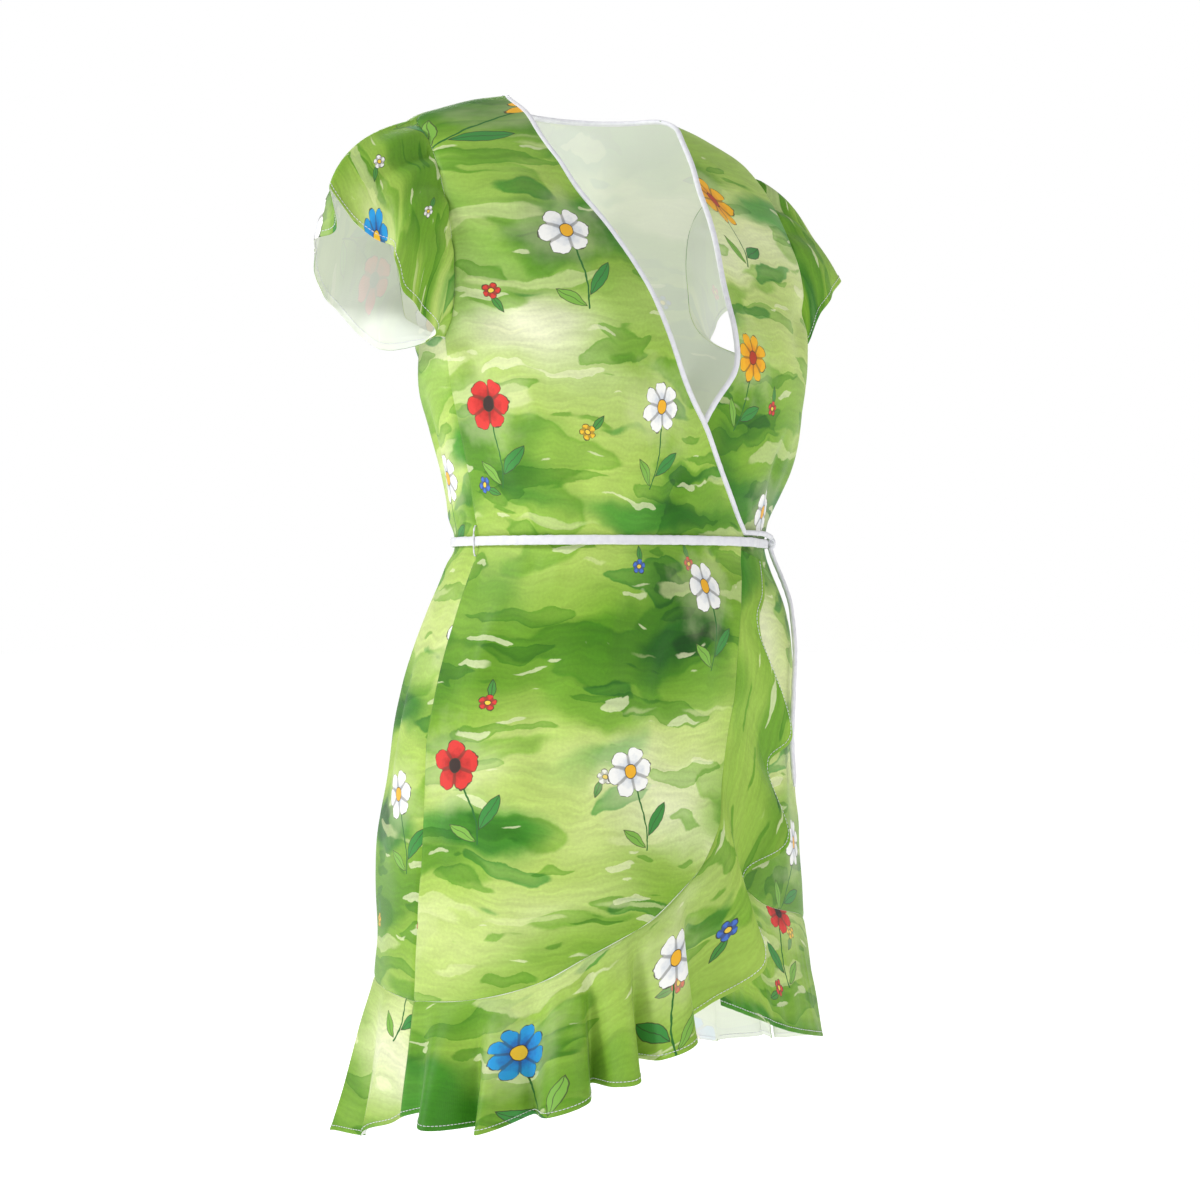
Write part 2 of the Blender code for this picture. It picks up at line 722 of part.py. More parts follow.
def make_tie():
    """The long tie, from the knot across the front, round the back and to the knot."""
    clear = math.degrees((KNOT_HALF[0] + SEAM) / 0.145)
    start, end = KNOT_ANGLE - clear, KNOT_ANGLE - 360.0 + clear
    count = 56
    route = []
    for i in range(count + 1):
        angle = start + (end - start) * i / count
        turned = angle if angle > -180.0 else angle + 360.0
        route.append(band_point(angle, tie_out(turned)))
    return add_curve("waist_tie", route, TIE_THICK / 2, WHITE_CLOTH,
                     half_extra=(TIE_HEIGHT - TIE_THICK) / 2, resolution=1)


def make_strap():
    """The short strap that runs on from the binding at the waist corner to the knot."""
    angle, drop = read_table(NECK_OVER, 1.0)
    start = cloth_point(-angle + 1.6, drop, WRAP_LIFT + WALL / 2)
    end = knot_centre() + Vector((-0.0030, -0.0052, 0.0058))
    middle = cloth_point(44.0, drop - 0.0008, 0.0060)
    return add_curve("wrap_strap", smooth_route([start, middle, end], 12),
                     BINDING_RADIUS * 0.92, WHITE_CLOTH)


def make_knot():
    ball = bmesh.new()
    bmesh.ops.create_uvsphere(ball, u_segments=14, v_segments=9, radius=1.0)
    mesh = bpy.data.meshes.new("tie_knot")
    ball.to_mesh(mesh)
    ball.free()
    for vertex in mesh.vertices:
        vertex.co = Vector(a * b for a, b in zip(vertex.co, KNOT_HALF))
    mesh.shade_smooth()
    knot = add_object("tie_knot", mesh, WHITE_CLOTH)
    knot.location = knot_centre()
    knot.rotation_euler = (0.0, 0.0, math.radians(KNOT_ANGLE))
    return knot


def make_tie_end():
    route = [cloth_point(*row) for row in TIE_END_ROUTE]
    return add_curve("tie_end", smooth_route(route, 34), TIE_END_RADIUS, WHITE_CLOTH)


def make_belt_loop(name, angle):
    """A thread loop from above the tie to below it, which the tie runs through."""
    stand = WALL + LOOP_CLEAR + LOOP_RADIUS
    far = tie_out(angle) + TIE_THICK / 2 + SEAM + LOOP_RADIUS
    route = []
    for i in range(11):
        turn = math.pi * i / 10
        point = band_point(angle, stand + (far - stand) * math.sin(turn) ** 0.5)
        route.append(point + Vector((0, 0, LOOP_REACH * math.cos(turn))))
    return add_curve(name, route, LOOP_RADIUS, WHITE_CLOTH, resolution=1)


# ---------------------------------------------------------------- the dress
def main():
    for old in list(bpy.data.objects):
        bpy.data.objects.remove(old, do_unlink=True)
    pieces = bpy.data.collections.new(COLLECTION)
    bpy.context.scene.collection.children.link(pieces)
    pieces.objects.link(bpy.data.objects.new("dress_frame", None))

    over, under, back = over_front_points(), under_front_points(), back_points()
    last = UNDERARM_ROW + 1
    make_over_flounce(over)
    make_under_flounce(under)
    make_back_flounce(back)
    armhole_rows = back[SHOULDER_ROWS:SHOULDER_ROWS + last]
    make_sleeve("sleeve_right", -1, [row[0] for row in over[:last]],
                [row[-1] for row in armhole_rows], SLEEVE_RIGHT)
    make_sleeve("sleeve_left", 1, [row[0] for row in under[:last]],
                [row[0] for row in armhole_rows], SLEEVE_LEFT)
    make_binding()
    finish_front("front_right", over, -1)
    finish_front("front_left", under, 1)
    finish_back(back)
    make_tie()
    make_strap()
    make_knot()
    make_tie_end()
    make_belt_loop("belt_loop_right", -90.0)
    make_belt_loop("belt_loop_left", 90.0)


main()
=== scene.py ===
# %% [markdown]
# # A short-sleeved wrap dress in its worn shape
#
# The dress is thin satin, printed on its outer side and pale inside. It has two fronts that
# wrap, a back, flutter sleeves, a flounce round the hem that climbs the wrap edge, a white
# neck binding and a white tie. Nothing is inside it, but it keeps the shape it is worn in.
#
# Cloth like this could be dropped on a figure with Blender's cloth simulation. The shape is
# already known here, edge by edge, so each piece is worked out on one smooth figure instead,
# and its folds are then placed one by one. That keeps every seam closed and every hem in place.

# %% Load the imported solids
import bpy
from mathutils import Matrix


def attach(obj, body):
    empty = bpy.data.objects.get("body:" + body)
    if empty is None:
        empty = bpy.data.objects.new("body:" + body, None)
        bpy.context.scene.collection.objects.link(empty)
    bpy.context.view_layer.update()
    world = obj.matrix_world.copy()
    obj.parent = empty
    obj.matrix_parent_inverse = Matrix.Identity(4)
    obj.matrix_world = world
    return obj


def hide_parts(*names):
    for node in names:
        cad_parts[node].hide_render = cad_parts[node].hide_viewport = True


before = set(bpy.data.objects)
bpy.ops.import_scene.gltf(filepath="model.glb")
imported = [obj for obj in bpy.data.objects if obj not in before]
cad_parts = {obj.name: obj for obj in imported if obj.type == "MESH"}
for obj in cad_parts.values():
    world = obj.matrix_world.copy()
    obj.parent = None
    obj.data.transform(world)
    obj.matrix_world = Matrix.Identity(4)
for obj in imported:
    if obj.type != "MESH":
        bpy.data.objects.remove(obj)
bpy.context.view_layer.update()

# %% Modules and units
import math
from bisect import bisect_right

import bpy
from mathutils import Vector, noise

MM = 0.001
scene = bpy.context.scene

# %% [markdown]
# ## Camera
#
# The dress is seen half from its right side, level with its waist, through a long lens. A
# camera could be tracked to a target, but with the view's angle and distance known it is
# simpler to place it on a circle and turn it by the same angle.

# %% Camera
VIEW_ANGLE = math.radians(-40.0)
VIEW_DISTANCE = 2.25
VIEW_HEIGHT = -0.451
VIEW_SHIFT = 0.012
HALF_FRAME, FOCAL_LENGTH = 600, 2452       # of the picture, in its own pixels

ahead = Vector((-math.sin(VIEW_ANGLE), math.cos(VIEW_ANGLE), 0.0))
aside = Vector((math.cos(VIEW_ANGLE), math.sin(VIEW_ANGLE), 0.0))
camera = bpy.data.objects.new("camera", bpy.data.cameras.new("camera"))
scene.collection.objects.link(camera)
camera.data.angle = 2 * math.atan(HALF_FRAME / FOCAL_LENGTH)
camera.location = aside * VIEW_SHIFT - ahead * VIEW_DISTANCE + Vector((0, 0, VIEW_HEIGHT))
camera.rotation_euler = (math.radians(90.0), 0.0, VIEW_ANGLE)
scene.camera = camera
print("camera at", tuple(round(c, 3) for c in camera.location))

# %% [markdown]
# ## Reading the pattern's tables
#
# A garment is drafted from a few measures: how wide it is at each level, and where each edge
# runs. They are kept as short tables. Blender's own curves could hold them, but a table with
# named columns is easier to read and to change, and a cubic through its rows is as smooth.

# %% Tables and easing
def table(*rows):
    """Return a reader of smooth curves through the rows. The first column is the place."""
    places = [row[0] for row in rows]
    last = len(rows) - 1
    slopes = []
    for j in range(len(rows)):
        low, high = rows[max(j - 1, 0)], rows[min(j + 1, last)]
        slopes.append([(b - a) / (high[0] - low[0]) for a, b in zip(low, high)])

    def read(place):
        i = min(max(bisect_right(places, place) - 1, 0), last - 1)
        step = places[i + 1] - places[i]
        x = min(max((place - places[i]) / step, 0.0), 1.0)
        rise = x * x * (3 - 2 * x)
        leave = (x**3 - 2 * x**2 + x) * step
        arrive = (x**3 - x**2) * step
        return [a + (b - a) * rise + leave * slope_a + arrive * slope_b for a, b, slope_a, slope_b
                in zip(rows[i][1:], rows[i + 1][1:], slopes[i][1:], slopes[i + 1][1:])]
    return read


def ease(value, low, high):
    """Go smoothly from 0 at low to 1 at high."""
    x = min(max((value - low) / (high - low), 0.0), 1.0)
    return x * x * (3 - 2 * x)


def spaced(low, high, count):
    """Take count even steps from low to high, both ends included."""
    return [low + (high - low) * i / count for i in range(count + 1)]


# %% [markdown]
# ## The figure
#
# Every piece is read on one smooth figure, at an angle round the body and a drop below the
# neck points. An angle of 0 is the centre front, 90 the wearer's left side, 180 the centre
# back. Sections that run from an ellipse to a rounder square serve shoulders as well as hips.

# %% Figure
SHOULDER_DROP = 0.033
UNDERARM_DROP = 0.227
WAIST_BAND = (0.391, 0.409)                # where the tie holds the cloth
WAIST_DROP = sum(WAIST_BAND) / 2
WRAP_CORNER_DROP = 0.391

figure_at = table(
    # drop   half_width  front   back   middle  squareness
    (-0.010, 0.070, 0.010, 0.060, 0.000, 2.00),
    (0.000, 0.090, 0.012, 0.066, 0.000, 2.00),
    (0.010, 0.131, 0.022, 0.070, 0.000, 2.00),
    (0.020, 0.161, 0.032, 0.0745, 0.000, 2.05),
    (0.031, 0.188, 0.041, 0.080, 0.000, 2.15),
    (0.050, 0.204, 0.055, 0.089, -0.002, 2.40),
    (0.077, 0.211, 0.069, 0.099, -0.007, 2.70),
    (0.115, 0.2115, 0.086, 0.110, -0.019, 2.75),
    (0.165, 0.208, 0.103, 0.118, -0.031, 2.75),
    (0.225, 0.194, 0.121, 0.126, -0.042, 2.60),
    (0.275, 0.186, 0.122, 0.126, -0.042, 2.50),
    (0.335, 0.168, 0.119, 0.117, -0.039, 2.30),
    (0.391, 0.153, 0.1155, 0.1185, -0.036, 2.05),
    (0.409, 0.153, 0.1158, 0.1190, -0.036, 2.05),
    (0.460, 0.173, 0.137, 0.143, -0.032, 2.05),
    (0.530, 0.191, 0.143, 0.165, -0.026, 2.10),
    (0.600, 0.199, 0.142, 0.176, -0.020, 2.10),
    (0.700, 0.203, 0.149, 0.182, -0.018, 2.10),
    (0.800, 0.207, 0.156, 0.190, -0.018, 2.10),
    (0.960, 0.215, 0.166, 0.198, -0.018, 2.10),
)


def figure_point(angle, drop):
    """The figure's own point at an angle and a drop."""
    half_width, front, back, middle, squareness = figure_at(drop)
    s, c = math.sin(math.radians(angle)), math.cos(math.radians(angle))
    depth = front if c > 0 else back
    radius = ((abs(s) / half_width) ** squareness
              + (abs(c) / depth) ** squareness) ** (-1 / squareness)
    return Vector((radius * s, middle - radius * c, -drop))


def figure_normal(angle, drop):
    """The direction straight out of the figure."""
    along = figure_point(angle + 0.5, drop) - figure_point(angle - 0.5, drop)
    down = figure_point(angle, drop + MM) - figure_point(angle, drop - MM)
    return down.cross(along).normalized()


def on_figure(angle, drop, out=0.0):
    """The point that stands out from the figure by a distance."""
    return figure_point(angle, drop) + figure_normal(angle, drop) * out


print("bust round:", round(sum((figure_point(a, 0.2) - figure_point(a + 2, 0.2)).length
                               for a in range(0, 360, 2)), 3), "m")

# %% [markdown]
# ## Creases
#
# The satin lies smooth, with a few soft creases: drags from the armholes to the bust, short
# puckers where the tie draws the waist in, and long shallow folds down the skirt. They could
# be painted in a bump map, but then the outline and the hems would stay straight, so each is
# a row of a table that moves the surface itself. The back gets its own, of the same kinds.

# %% Crease table
CREASES = (
    # angle  drop  lean  length width  depth   bow
    (-62, 0.190, 62, 0.130, 0.014, -0.0026, 0.4),
    (-68, 0.224, 48, 0.110, 0.011, -0.0018, 0.6),
    (-80, 0.262, 22, 0.120, 0.010, -0.0020, 0.2),
    (-71, 0.318, 6, 0.130, 0.013, 0.0020, 0.0),
    (-52, 0.330, -8, 0.110, 0.014, -0.0018, 0.3),
    (-33, 0.345, -20, 0.095, 0.012, 0.0016, 0.3),
    (-14, 0.350, -32, 0.085, 0.010, -0.0014, 0.2),
    (-50, 0.105, 16, 0.090, 0.018, -0.0018, 0.0),
    (-66, 0.112, 8, 0.080, 0.013, 0.0016, 0.3),
    (-34, 0.250, 30, 0.080, 0.014, -0.0012, 0.5),
    (-76, 0.505, -3, 0.150, 0.016, 0.0026, 0.0),
    (-58, 0.545, 4, 0.210, 0.019, -0.0026, 0.2),
    (-40, 0.500, -5, 0.150, 0.015, 0.0020, 0.2),
    (-21, 0.520, -9, 0.170, 0.014, -0.0020, 0.2),
    (-4, 0.480, -18, 0.110, 0.011, 0.0014, 0.3),
    (-86, 0.640, 2, 0.170, 0.017, -0.0022, 0.1),
    (-66, 0.690, -3, 0.150, 0.020, 0.0020, 0.0),
    (-38, 0.655, 6, 0.140, 0.022, 0.0018, 0.2),
    (62, 0.190, -62, 0.130, 0.013, -0.0024, 0.4),
    (70, 0.232, -46, 0.110, 0.011, -0.0018, 0.5),
    (80, 0.275, -18, 0.120, 0.010, -0.0020, 0.2),
    (66, 0.325, -8, 0.120, 0.012, 0.0018, 0.1),
    (48, 0.340, 12, 0.100, 0.012, -0.0016, 0.3),
    (52, 0.110, -14, 0.090, 0.016, -0.0016, 0.0),
    (77, 0.500, 4, 0.150, 0.015, 0.0024, 0.1),
    (60, 0.560, -4, 0.200, 0.017, -0.0024, 0.2),
    (42, 0.640, 3, 0.170, 0.018, 0.0018, 0.1),
    (84, 0.660, -2, 0.160, 0.017, -0.0020, 0.1),
    (26, 0.620, 6, 0.150, 0.014, -0.0016, 0.1),
    (118, 0.235, 38, 0.120, 0.013, -0.0024, 0.4),
    (112, 0.300, 12, 0.120, 0.012, 0.0020, 0.2),
    (132, 0.335, 4, 0.100, 0.012, -0.0020, 0.1),
    (168, 0.350, 82, 0.150, 0.010, 0.0026, 0.3),
    (192, 0.371, 97, 0.120, 0.008, 0.0020, 0.4),
    (150, 0.322, 60, 0.080, 0.010, -0.0014, 0.4),
    (213, 0.318, -52, 0.090, 0.010, -0.0016, 0.4),
    (228, 0.330, -6, 0.110, 0.012, 0.0018, 0.2),
    (246, 0.240, -40, 0.125, 0.013, -0.0026, 0.4),
    (250, 0.310, -12, 0.120, 0.011, -0.0018, 0.2),
    (140, 0.110, 20, 0.110, 0.017, -0.0018, 0.2),
    (222, 0.115, -18, 0.110, 0.017, -0.0018, 0.2),
    (181, 0.170, 4, 0.130, 0.018, 0.0014, 0.1),
    (110, 0.520, 3, 0.170, 0.018, -0.0028, 0.1),
    (131, 0.500, -3, 0.140, 0.016, 0.0024, 0.2),
    (152, 0.560, 2, 0.220, 0.020, -0.0028, 0.1),
    (176, 0.510, -4, 0.150, 0.016, 0.0022, 0.1),
    (199, 0.570, 3, 0.210, 0.019, -0.0026, 0.2),
    (222, 0.505, -2, 0.150, 0.015, 0.0024, 0.1),
    (244, 0.560, -4, 0.190, 0.018, -0.0024, 0.2),
    (140, 0.680, -2, 0.160, 0.022, 0.0020, 0.1),
    (187, 0.690, 3, 0.150, 0.022, 0.0020, 0.2),
    (233, 0.685, 1, 0.160, 0.020, 0.0020, 0.1),
)
# Puckers run up and down from the tie, where it holds the cloth in.
PUCKERS = (
    # angle  up     down   depth
    (-84, 0.040, 0.055, 0.0016),
    (-77, 0.026, 0.030, -0.0012),
    (-66, 0.052, 0.044, -0.0017),
    (-58, 0.030, 0.062, 0.0015),
    (-47, 0.045, 0.036, -0.0013),
    (-36, 0.026, 0.052, 0.0014),
    (-24, 0.038, 0.030, -0.0012),
    (-13, 0.028, 0.046, 0.0012),
    (2, 0.030, 0.034, -0.0010),
    (31, 0.036, 0.048, 0.0012),
    (42, 0.026, 0.034, -0.0013),
    (54, 0.046, 0.055, 0.0015),
    (69, 0.034, 0.040, -0.0016),
    (79, 0.050, 0.060, 0.0016),
    (93, 0.030, 0.034, -0.0016),
    (104, 0.055, 0.064, 0.0018),
    (117, 0.034, 0.046, -0.0017),
    (128, 0.060, 0.070, 0.0019),
    (141, 0.030, 0.044, -0.0016),
    (151, 0.048, 0.062, 0.0018),
    (164, 0.036, 0.050, -0.0018),
    (174, 0.054, 0.072, 0.0018),
    (187, 0.030, 0.040, -0.0017),
    (198, 0.050, 0.066, 0.0019),
    (211, 0.036, 0.052, -0.0016),
    (222, 0.058, 0.060, 0.0018),
    (235, 0.032, 0.042, -0.0017),
    (247, 0.052, 0.064, 0.0018),
    (259, 0.036, 0.040, -0.0015),
)
PUCKER_WIDTH = 6.5 * MM
GIRTH_RADIUS = 0.175       # turns an angle into a distance round the body
UNDULATION = 0.0030        # slow unevenness of cloth that hangs free
UNDULATION_SCALES = ((9.0, 1.0), (26.0, 0.35))     # lumps to a metre, share of the height
CREASE_STRENGTH = 3.3      # satin is soft, so it drapes deeper than the tables' own depths
PUCKER_STRENGTH = 1.9
TIE_HOLDS = (0.008, 0.024)         # cloth is flat this near the tie, and free this far from it
NECK_HOLDS = 0.05


def angle_between(angle, other):
    """The way from one angle to another, the short way round."""
    return (angle - other + 180.0) % 360.0 - 180.0


def relief(angle, drop):
    """How far the creases move the cloth out at a place: below zero in a trough."""
    total = 0.0
    for at, level, lean, length, width, depth, bow in CREASES:
        down = drop - level
        if abs(down) > length:
            continue
        round_by = math.radians(angle_between(angle, at)) * GIRTH_RADIUS
        if abs(round_by) > length + width * 3:
            continue
        tilt = math.radians(lean)
        along = round_by * math.sin(tilt) + down * math.cos(tilt)
        across = round_by * math.cos(tilt) - down * math.sin(tilt)
        reach = along / length * 2
        if abs(reach) < 1:
            off = (across - bow * along * along / length * 2) / width
            total += CREASE_STRENGTH * depth * math.exp(-off * off) * (1 - reach * reach) ** 2
    from_tie = drop - WAIST_DROP
    for at, up, down, depth in PUCKERS:
        reach = from_tie / down if from_tie > 0 else -from_tie / up
        if reach < 1:
            off = math.radians(angle_between(angle, at)) * GIRTH_RADIUS / PUCKER_WIDTH
            total += PUCKER_STRENGTH * depth * math.exp(-off * off) * (1 - reach) ** 1.5
    place = figure_point(angle, drop)
    for scale, share in UNDULATION_SCALES:
        total += UNDULATION * share * noise.noise(place * scale)
    return total * ease(abs(from_tie), *TIE_HOLDS) * ease(drop, 0.0, NECK_HOLDS)


print("creases:", len(CREASES), "puckers:", len(PUCKERS))

# %% [markdown]
# ## The free end of the tie
#
# The tie is a narrow white band, knotted at the wearer's left side. Its free end hangs down
# the skirt, limp. A curve with a bevel would serve, but a band that is flatter than it is
# wide, with a few soft dents, needs its own section, so a mesh is run along the route.

# %% Running a section along a route
def soften(line, passes):
    """Round the corners of a line by moving its points between their neighbours."""
    for _ in range(passes):
        line = [line[0], *((a + b * 2 + c) / 4 for a, b, c in zip(line, line[1:], line[2:])),
                line[-1]]
    return line


def smooth_route(points, count):
    """Read count points evenly from a smooth curve through the route's own points."""
    read = table(*((i / (len(points) - 1), *point) for i, point in enumerate(points)))
    return [Vector(read(share)) for share in spaced(0.0, 1.0, count - 1)]


def new_piece(name, points, faces):
    """Make a smooth-shaded object from points and faces."""
    mesh = bpy.data.meshes.new(name)
    mesh.from_pydata([tuple(p) for p in points], [], faces)
    mesh.shade_smooth()
    piece = bpy.data.objects.new(name, mesh)
    scene.collection.objects.link(piece)
    return piece


def sweep(name, centres, outs, section, sides=16):
    """Run a closed section along centres. outs points away from the cloth at each of them.

    section(i, turn) gives how far the surface lies across the band and out from the cloth.
    """
    rings = []
    last = len(centres) - 1
    for i, centre in enumerate(centres):
        ahead_here = (centres[min(i + 1, last)] - centres[max(i - 1, 0)]).normalized()
        across = ahead_here.cross(outs[i]).normalized()
        out = across.cross(ahead_here)
        ring = []
        for k in range(sides):
            side, rise = section(i, 2 * math.pi * k / sides)
            ring.append(centre + across * side + out * rise)
        rings.append(ring)
    points = [point for ring in rings for point in ring]
    faces = []
    for i in range(last):
        for k in range(sides):
            a, b = i * sides + k, i * sides + (k + 1) % sides
            faces.append((a, b, b + sides, a + sides))
    for ring_start, sense in ((0, -1), (last * sides, 1)):
        points.append(sum((points[ring_start + k] for k in range(sides)), Vector()) / sides)
        for k in range(sides):
            edge = (ring_start + k, ring_start + (k + 1) % sides)
            faces.append((*edge[::sense], len(points) - 1))
    piece = new_piece(name, points, faces)
    piece.data.validate()
    return piece


DENTS_PER_METRE = 210.0
END_SIZE, END_GROWTH = 0.55, 0.15          # a band narrows to its end over its last points


def soft_section(half_width, half_thick, dents, centres, fullness=2.4):
    """A soft band's section, fuller than an ellipse, with dents that vary along it."""
    def section(i, turn):
        c, s = math.cos(turn), math.sin(turn)
        size = (abs(c) ** fullness + abs(s) ** fullness) ** (-1 / fullness)
        spot = centres[i] * DENTS_PER_METRE + Vector((c, s, 0.0)) * 0.8
        dent = 1.0 + dents * noise.noise(spot)
        closing = min(1.0, END_SIZE + END_GROWTH * (len(centres) - 1 - i))
        return c * size * half_width * dent * closing, s * size * half_thick * dent * closing
    return section


# %% Tie end
TIE_END_WIDTH = 6.6 * MM
TIE_END_HALF_THICK = 2.1 * MM
TIE_END_ROUTE = (
    # angle  drop    out
    (62.4, 0.4035, 0.0062),
    (62.0, 0.4150, 0.0072),
    (60.5, 0.4270, 0.0078),
    (55.0, 0.4500, 0.0076),
    (47.5, 0.4850, 0.0070),
    (44.0, 0.5300, 0.0070),
    (44.2, 0.5700, 0.0070),
    (45.8, 0.6200, 0.0070),
)
tie_end_line = [on_figure(angle, drop, out + relief(angle, drop))
                for angle, drop, out in smooth_route(TIE_END_ROUTE, 110)]
tie_end_outs = [figure_normal(50.0, -point.z) for point in tie_end_line]
tie_end = sweep("tie_end_band", tie_end_line, tie_end_outs,
                soft_section(TIE_END_WIDTH / 2, TIE_END_HALF_THICK, 0.16, tie_end_line),
                sides=18)

# %% [markdown]
# ## From a grid of points to a piece of cloth
#
# A piece of cloth is a grid, seen from outside, with a thickness. The grid could be a plane
# that is bent by modifiers, but then its edges would not meet its neighbours', so its points
# come from the pattern. Solidify adds the thickness, and gives the inner side its own finish.
# At a seam the cloth dips, because it turns in to the seam allowance. At a hem it is folded
# double, and the row of stitches presses a fine groove in it.

# %% Edges
CLOTH = 0.5 * MM           # thickness drawn; the real satin is about 0.3 mm
CLOTH_OUT = 0.9 * MM       # its outer face, from the figure
SEAM_DIP = 1.0 * MM
SEAM_REACH = 2.4 * MM
HEM_FOLD = 4.6 * MM        # width of the folded hem
HEM_RISE = 0.3 * MM
STITCH_FROM_EDGE = 3.6 * MM
STITCH_DIP = 0.28 * MM
STITCH_DIP_HALF = 0.5 * MM
EDGE_STOPS = (0.7 * MM, 1.6 * MM, 2.7 * MM, 4.2 * MM, 6.5 * MM)
HEM_STOPS = (0.6 * MM, 1.6 * MM, 2.6 * MM, 3.2 * MM, STITCH_FROM_EDGE, 4.0 * MM, 4.6 * MM,
             5.4 * MM, 7.0 * MM)
EDGE_ZONE = 12 * MM        # an edge shapes the cloth no further in than this


def seam_profile(distance):
    """How far the cloth stands out at a distance from its seam: it turns in there."""
    return -SEAM_DIP * math.exp(-(distance / SEAM_REACH) ** 2)


def hem_profile(distance):
    """How far the cloth stands out at a distance from its hem."""
    groove = math.exp(-((distance - STITCH_FROM_EDGE) / STITCH_DIP_HALF) ** 2)
    return HEM_RISE * (1 - ease(distance, HEM_FOLD - 0.4 * MM, HEM_FOLD + 0.7 * MM)) \
        - STITCH_DIP * groove


def grid_normals(points, ring):
    """Directions square to a grid, seen from outside with its first row at the top."""
    rows, columns = len(points), len(points[0])
    normals = []
    for i in range(rows):
        line = []
        for j in range(columns):
            left = (j - 1) % columns if ring else max(j - 1, 0)
            right = (j + 1) % columns if ring else min(j + 1, columns - 1)
            along = points[i][right] - points[i][left]
            down = points[min(i + 1, rows - 1)][j] - points[max(i - 1, 0)][j]
            line.append(down.cross(along).normalized())
        normals.append(line)
    return normals


def shape_edge(points, normals, edge, profile):
    """Move the points near one edge in or out by profile, at their distance from it."""
    rows, columns = len(points), len(points[0])
    across = edge in ("left", "right")
    for line in range(rows if across else columns):
        steps = range(columns) if across else range(rows)
        if edge in ("right", "bottom"):
            steps = reversed(steps)
        places = [(line, step) if across else (step, line) for step in steps]
        distance = 0.0
        before = None
        for i, j in places:
            here = points[i][j].copy()
            distance += (here - before).length if before else 0.0
            if distance > EDGE_ZONE:
                break
            points[i][j] = here + normals[i][j] * profile(distance)
            before = here


def make_cloth(name, points, uvs, edges, ring=False):
    """Make a piece of cloth from a grid of points and its places on the flat cloth."""
    normals = grid_normals(points, ring)
    for edge, profile in edges.items():
        shape_edge(points, normals, edge, profile)
    rows, columns = len(points), len(points[0])
    faces, face_uvs = [], []
    for i in range(rows - 1):
        for j in range(columns if ring else columns - 1):
            k = (j + 1) % columns
            faces.append((i * columns + j, (i + 1) * columns + j,
                          (i + 1) * columns + k, i * columns + k))
            face_uvs += [uvs[i][j], uvs[i + 1][j], uvs[i + 1][j + 1], uvs[i][j + 1]]
    piece = new_piece(name, [point for line in points for point in line], faces)
    flat = piece.data.uv_layers.new(name="flat_cloth")
    for corner, uv in zip(flat.data, face_uvs):
        corner.uv = uv
    wall = piece.modifiers.new("thickness", "SOLIDIFY")
    wall.thickness = CLOTH
    wall.offset = -1.0
    wall.use_even_offset = False
    wall.material_offset = 1
    print(name, "-", rows, "x", columns, "points")
    return piece


# %% [markdown]
# ## Topstitching
#
# Every hem is held by a row of white machine stitches, about 3 mm long, that shows as a thin
# pale line. A texture could draw them, but they catch the light as small threads, so each is
# a short capsule, and all of them are joined in one mesh.

# %% Stitches
STITCH_LENGTH = 2.7 * MM
STITCH_GAP = 0.7 * MM
THREAD_RADIUS = 0.32 * MM
STITCH_SHAPE = ((0.0, 0.35), (0.12, 0.85), (0.5, 1.0), (0.88, 0.85), (1.0, 0.35))
THREAD_SIDES = 6
stitch_points, stitch_faces = [], []


def walk(line, normals, step):
    """Walk along a line in even steps: (point, normal) pairs."""
    found = []
    left = 0.0
    for (a, na), (b, nb) in zip(zip(line, normals), zip(line[1:], normals[1:])):
        length = (b - a).length
        while left <= length:
            share = left / length if length else 0.0
            found.append((a.lerp(b, share), na.lerp(nb, share).normalized()))
            left += step
        left -= length
    return found


def add_stitches(line, normals):
    """Lay a row of stitches on a line."""
    spots = walk(line, normals, STITCH_LENGTH + STITCH_GAP)
    for (start, out), (after, _) in zip(spots, spots[1:]):
        heading = (after - start).normalized()
        across = heading.cross(out).normalized()
        out = across.cross(heading)
        first = len(stitch_points)
        for share, fat in STITCH_SHAPE:
            lift = THREAD_RADIUS * (0.25 + 0.9 * math.sin(math.pi * share))
            centre = start + heading * STITCH_LENGTH * share + out * lift
            for k in range(THREAD_SIDES):
                turn = 2 * math.pi * k / THREAD_SIDES
                stitch_points.append(centre + (across * math.cos(turn) + out * math.sin(turn))
                                     * THREAD_RADIUS * fat)
        for ring in range(len(STITCH_SHAPE) - 1):
            for k in range(THREAD_SIDES):
                a = first + ring * THREAD_SIDES + k
                b = first + ring * THREAD_SIDES + (k + 1) % THREAD_SIDES
                stitch_faces.append((a, b, b + THREAD_SIDES, a + THREAD_SIDES))
        end = first + (len(STITCH_SHAPE) - 1) * THREAD_SIDES
        stitch_faces.append(tuple(range(first + THREAD_SIDES - 1, first - 1, -1)))
        stitch_faces.append(tuple(range(end, end + THREAD_SIDES)))


def stitch_hem(grid, ring=False):
    """Stitch a hem through, near a grid's last row, so that both sides show the stitches."""
    row = len(grid) - 2 - HEM_STOPS.index(STITCH_FROM_EDGE)
    line, normals = grid[row], grid_normals(grid, ring)[row]
    if ring:
        line, normals = line + line[:1], normals + normals[:1]
    add_stitches(line, normals)
    inner = [point - normal * CLOTH for point, normal in zip(line, normals)]
    add_stitches(inner, [-normal for normal in normals])


# %% [markdown]
# ## Fronts and back
#
# Each front is cut in one from its shoulder seam to its flounce seam. The right one lies on
# the left one, a few millimetres further out. Their rows run straight from the side to the
# wrap edge as far as the waist, and then bend to follow the flounce seam.

# %% Edges of the fronts and the back
SIDE_DROP_RIGHT = 0.795
SIDE_DROP_LEFT = 0.765
WRAP_LIFT = 6.2 * MM

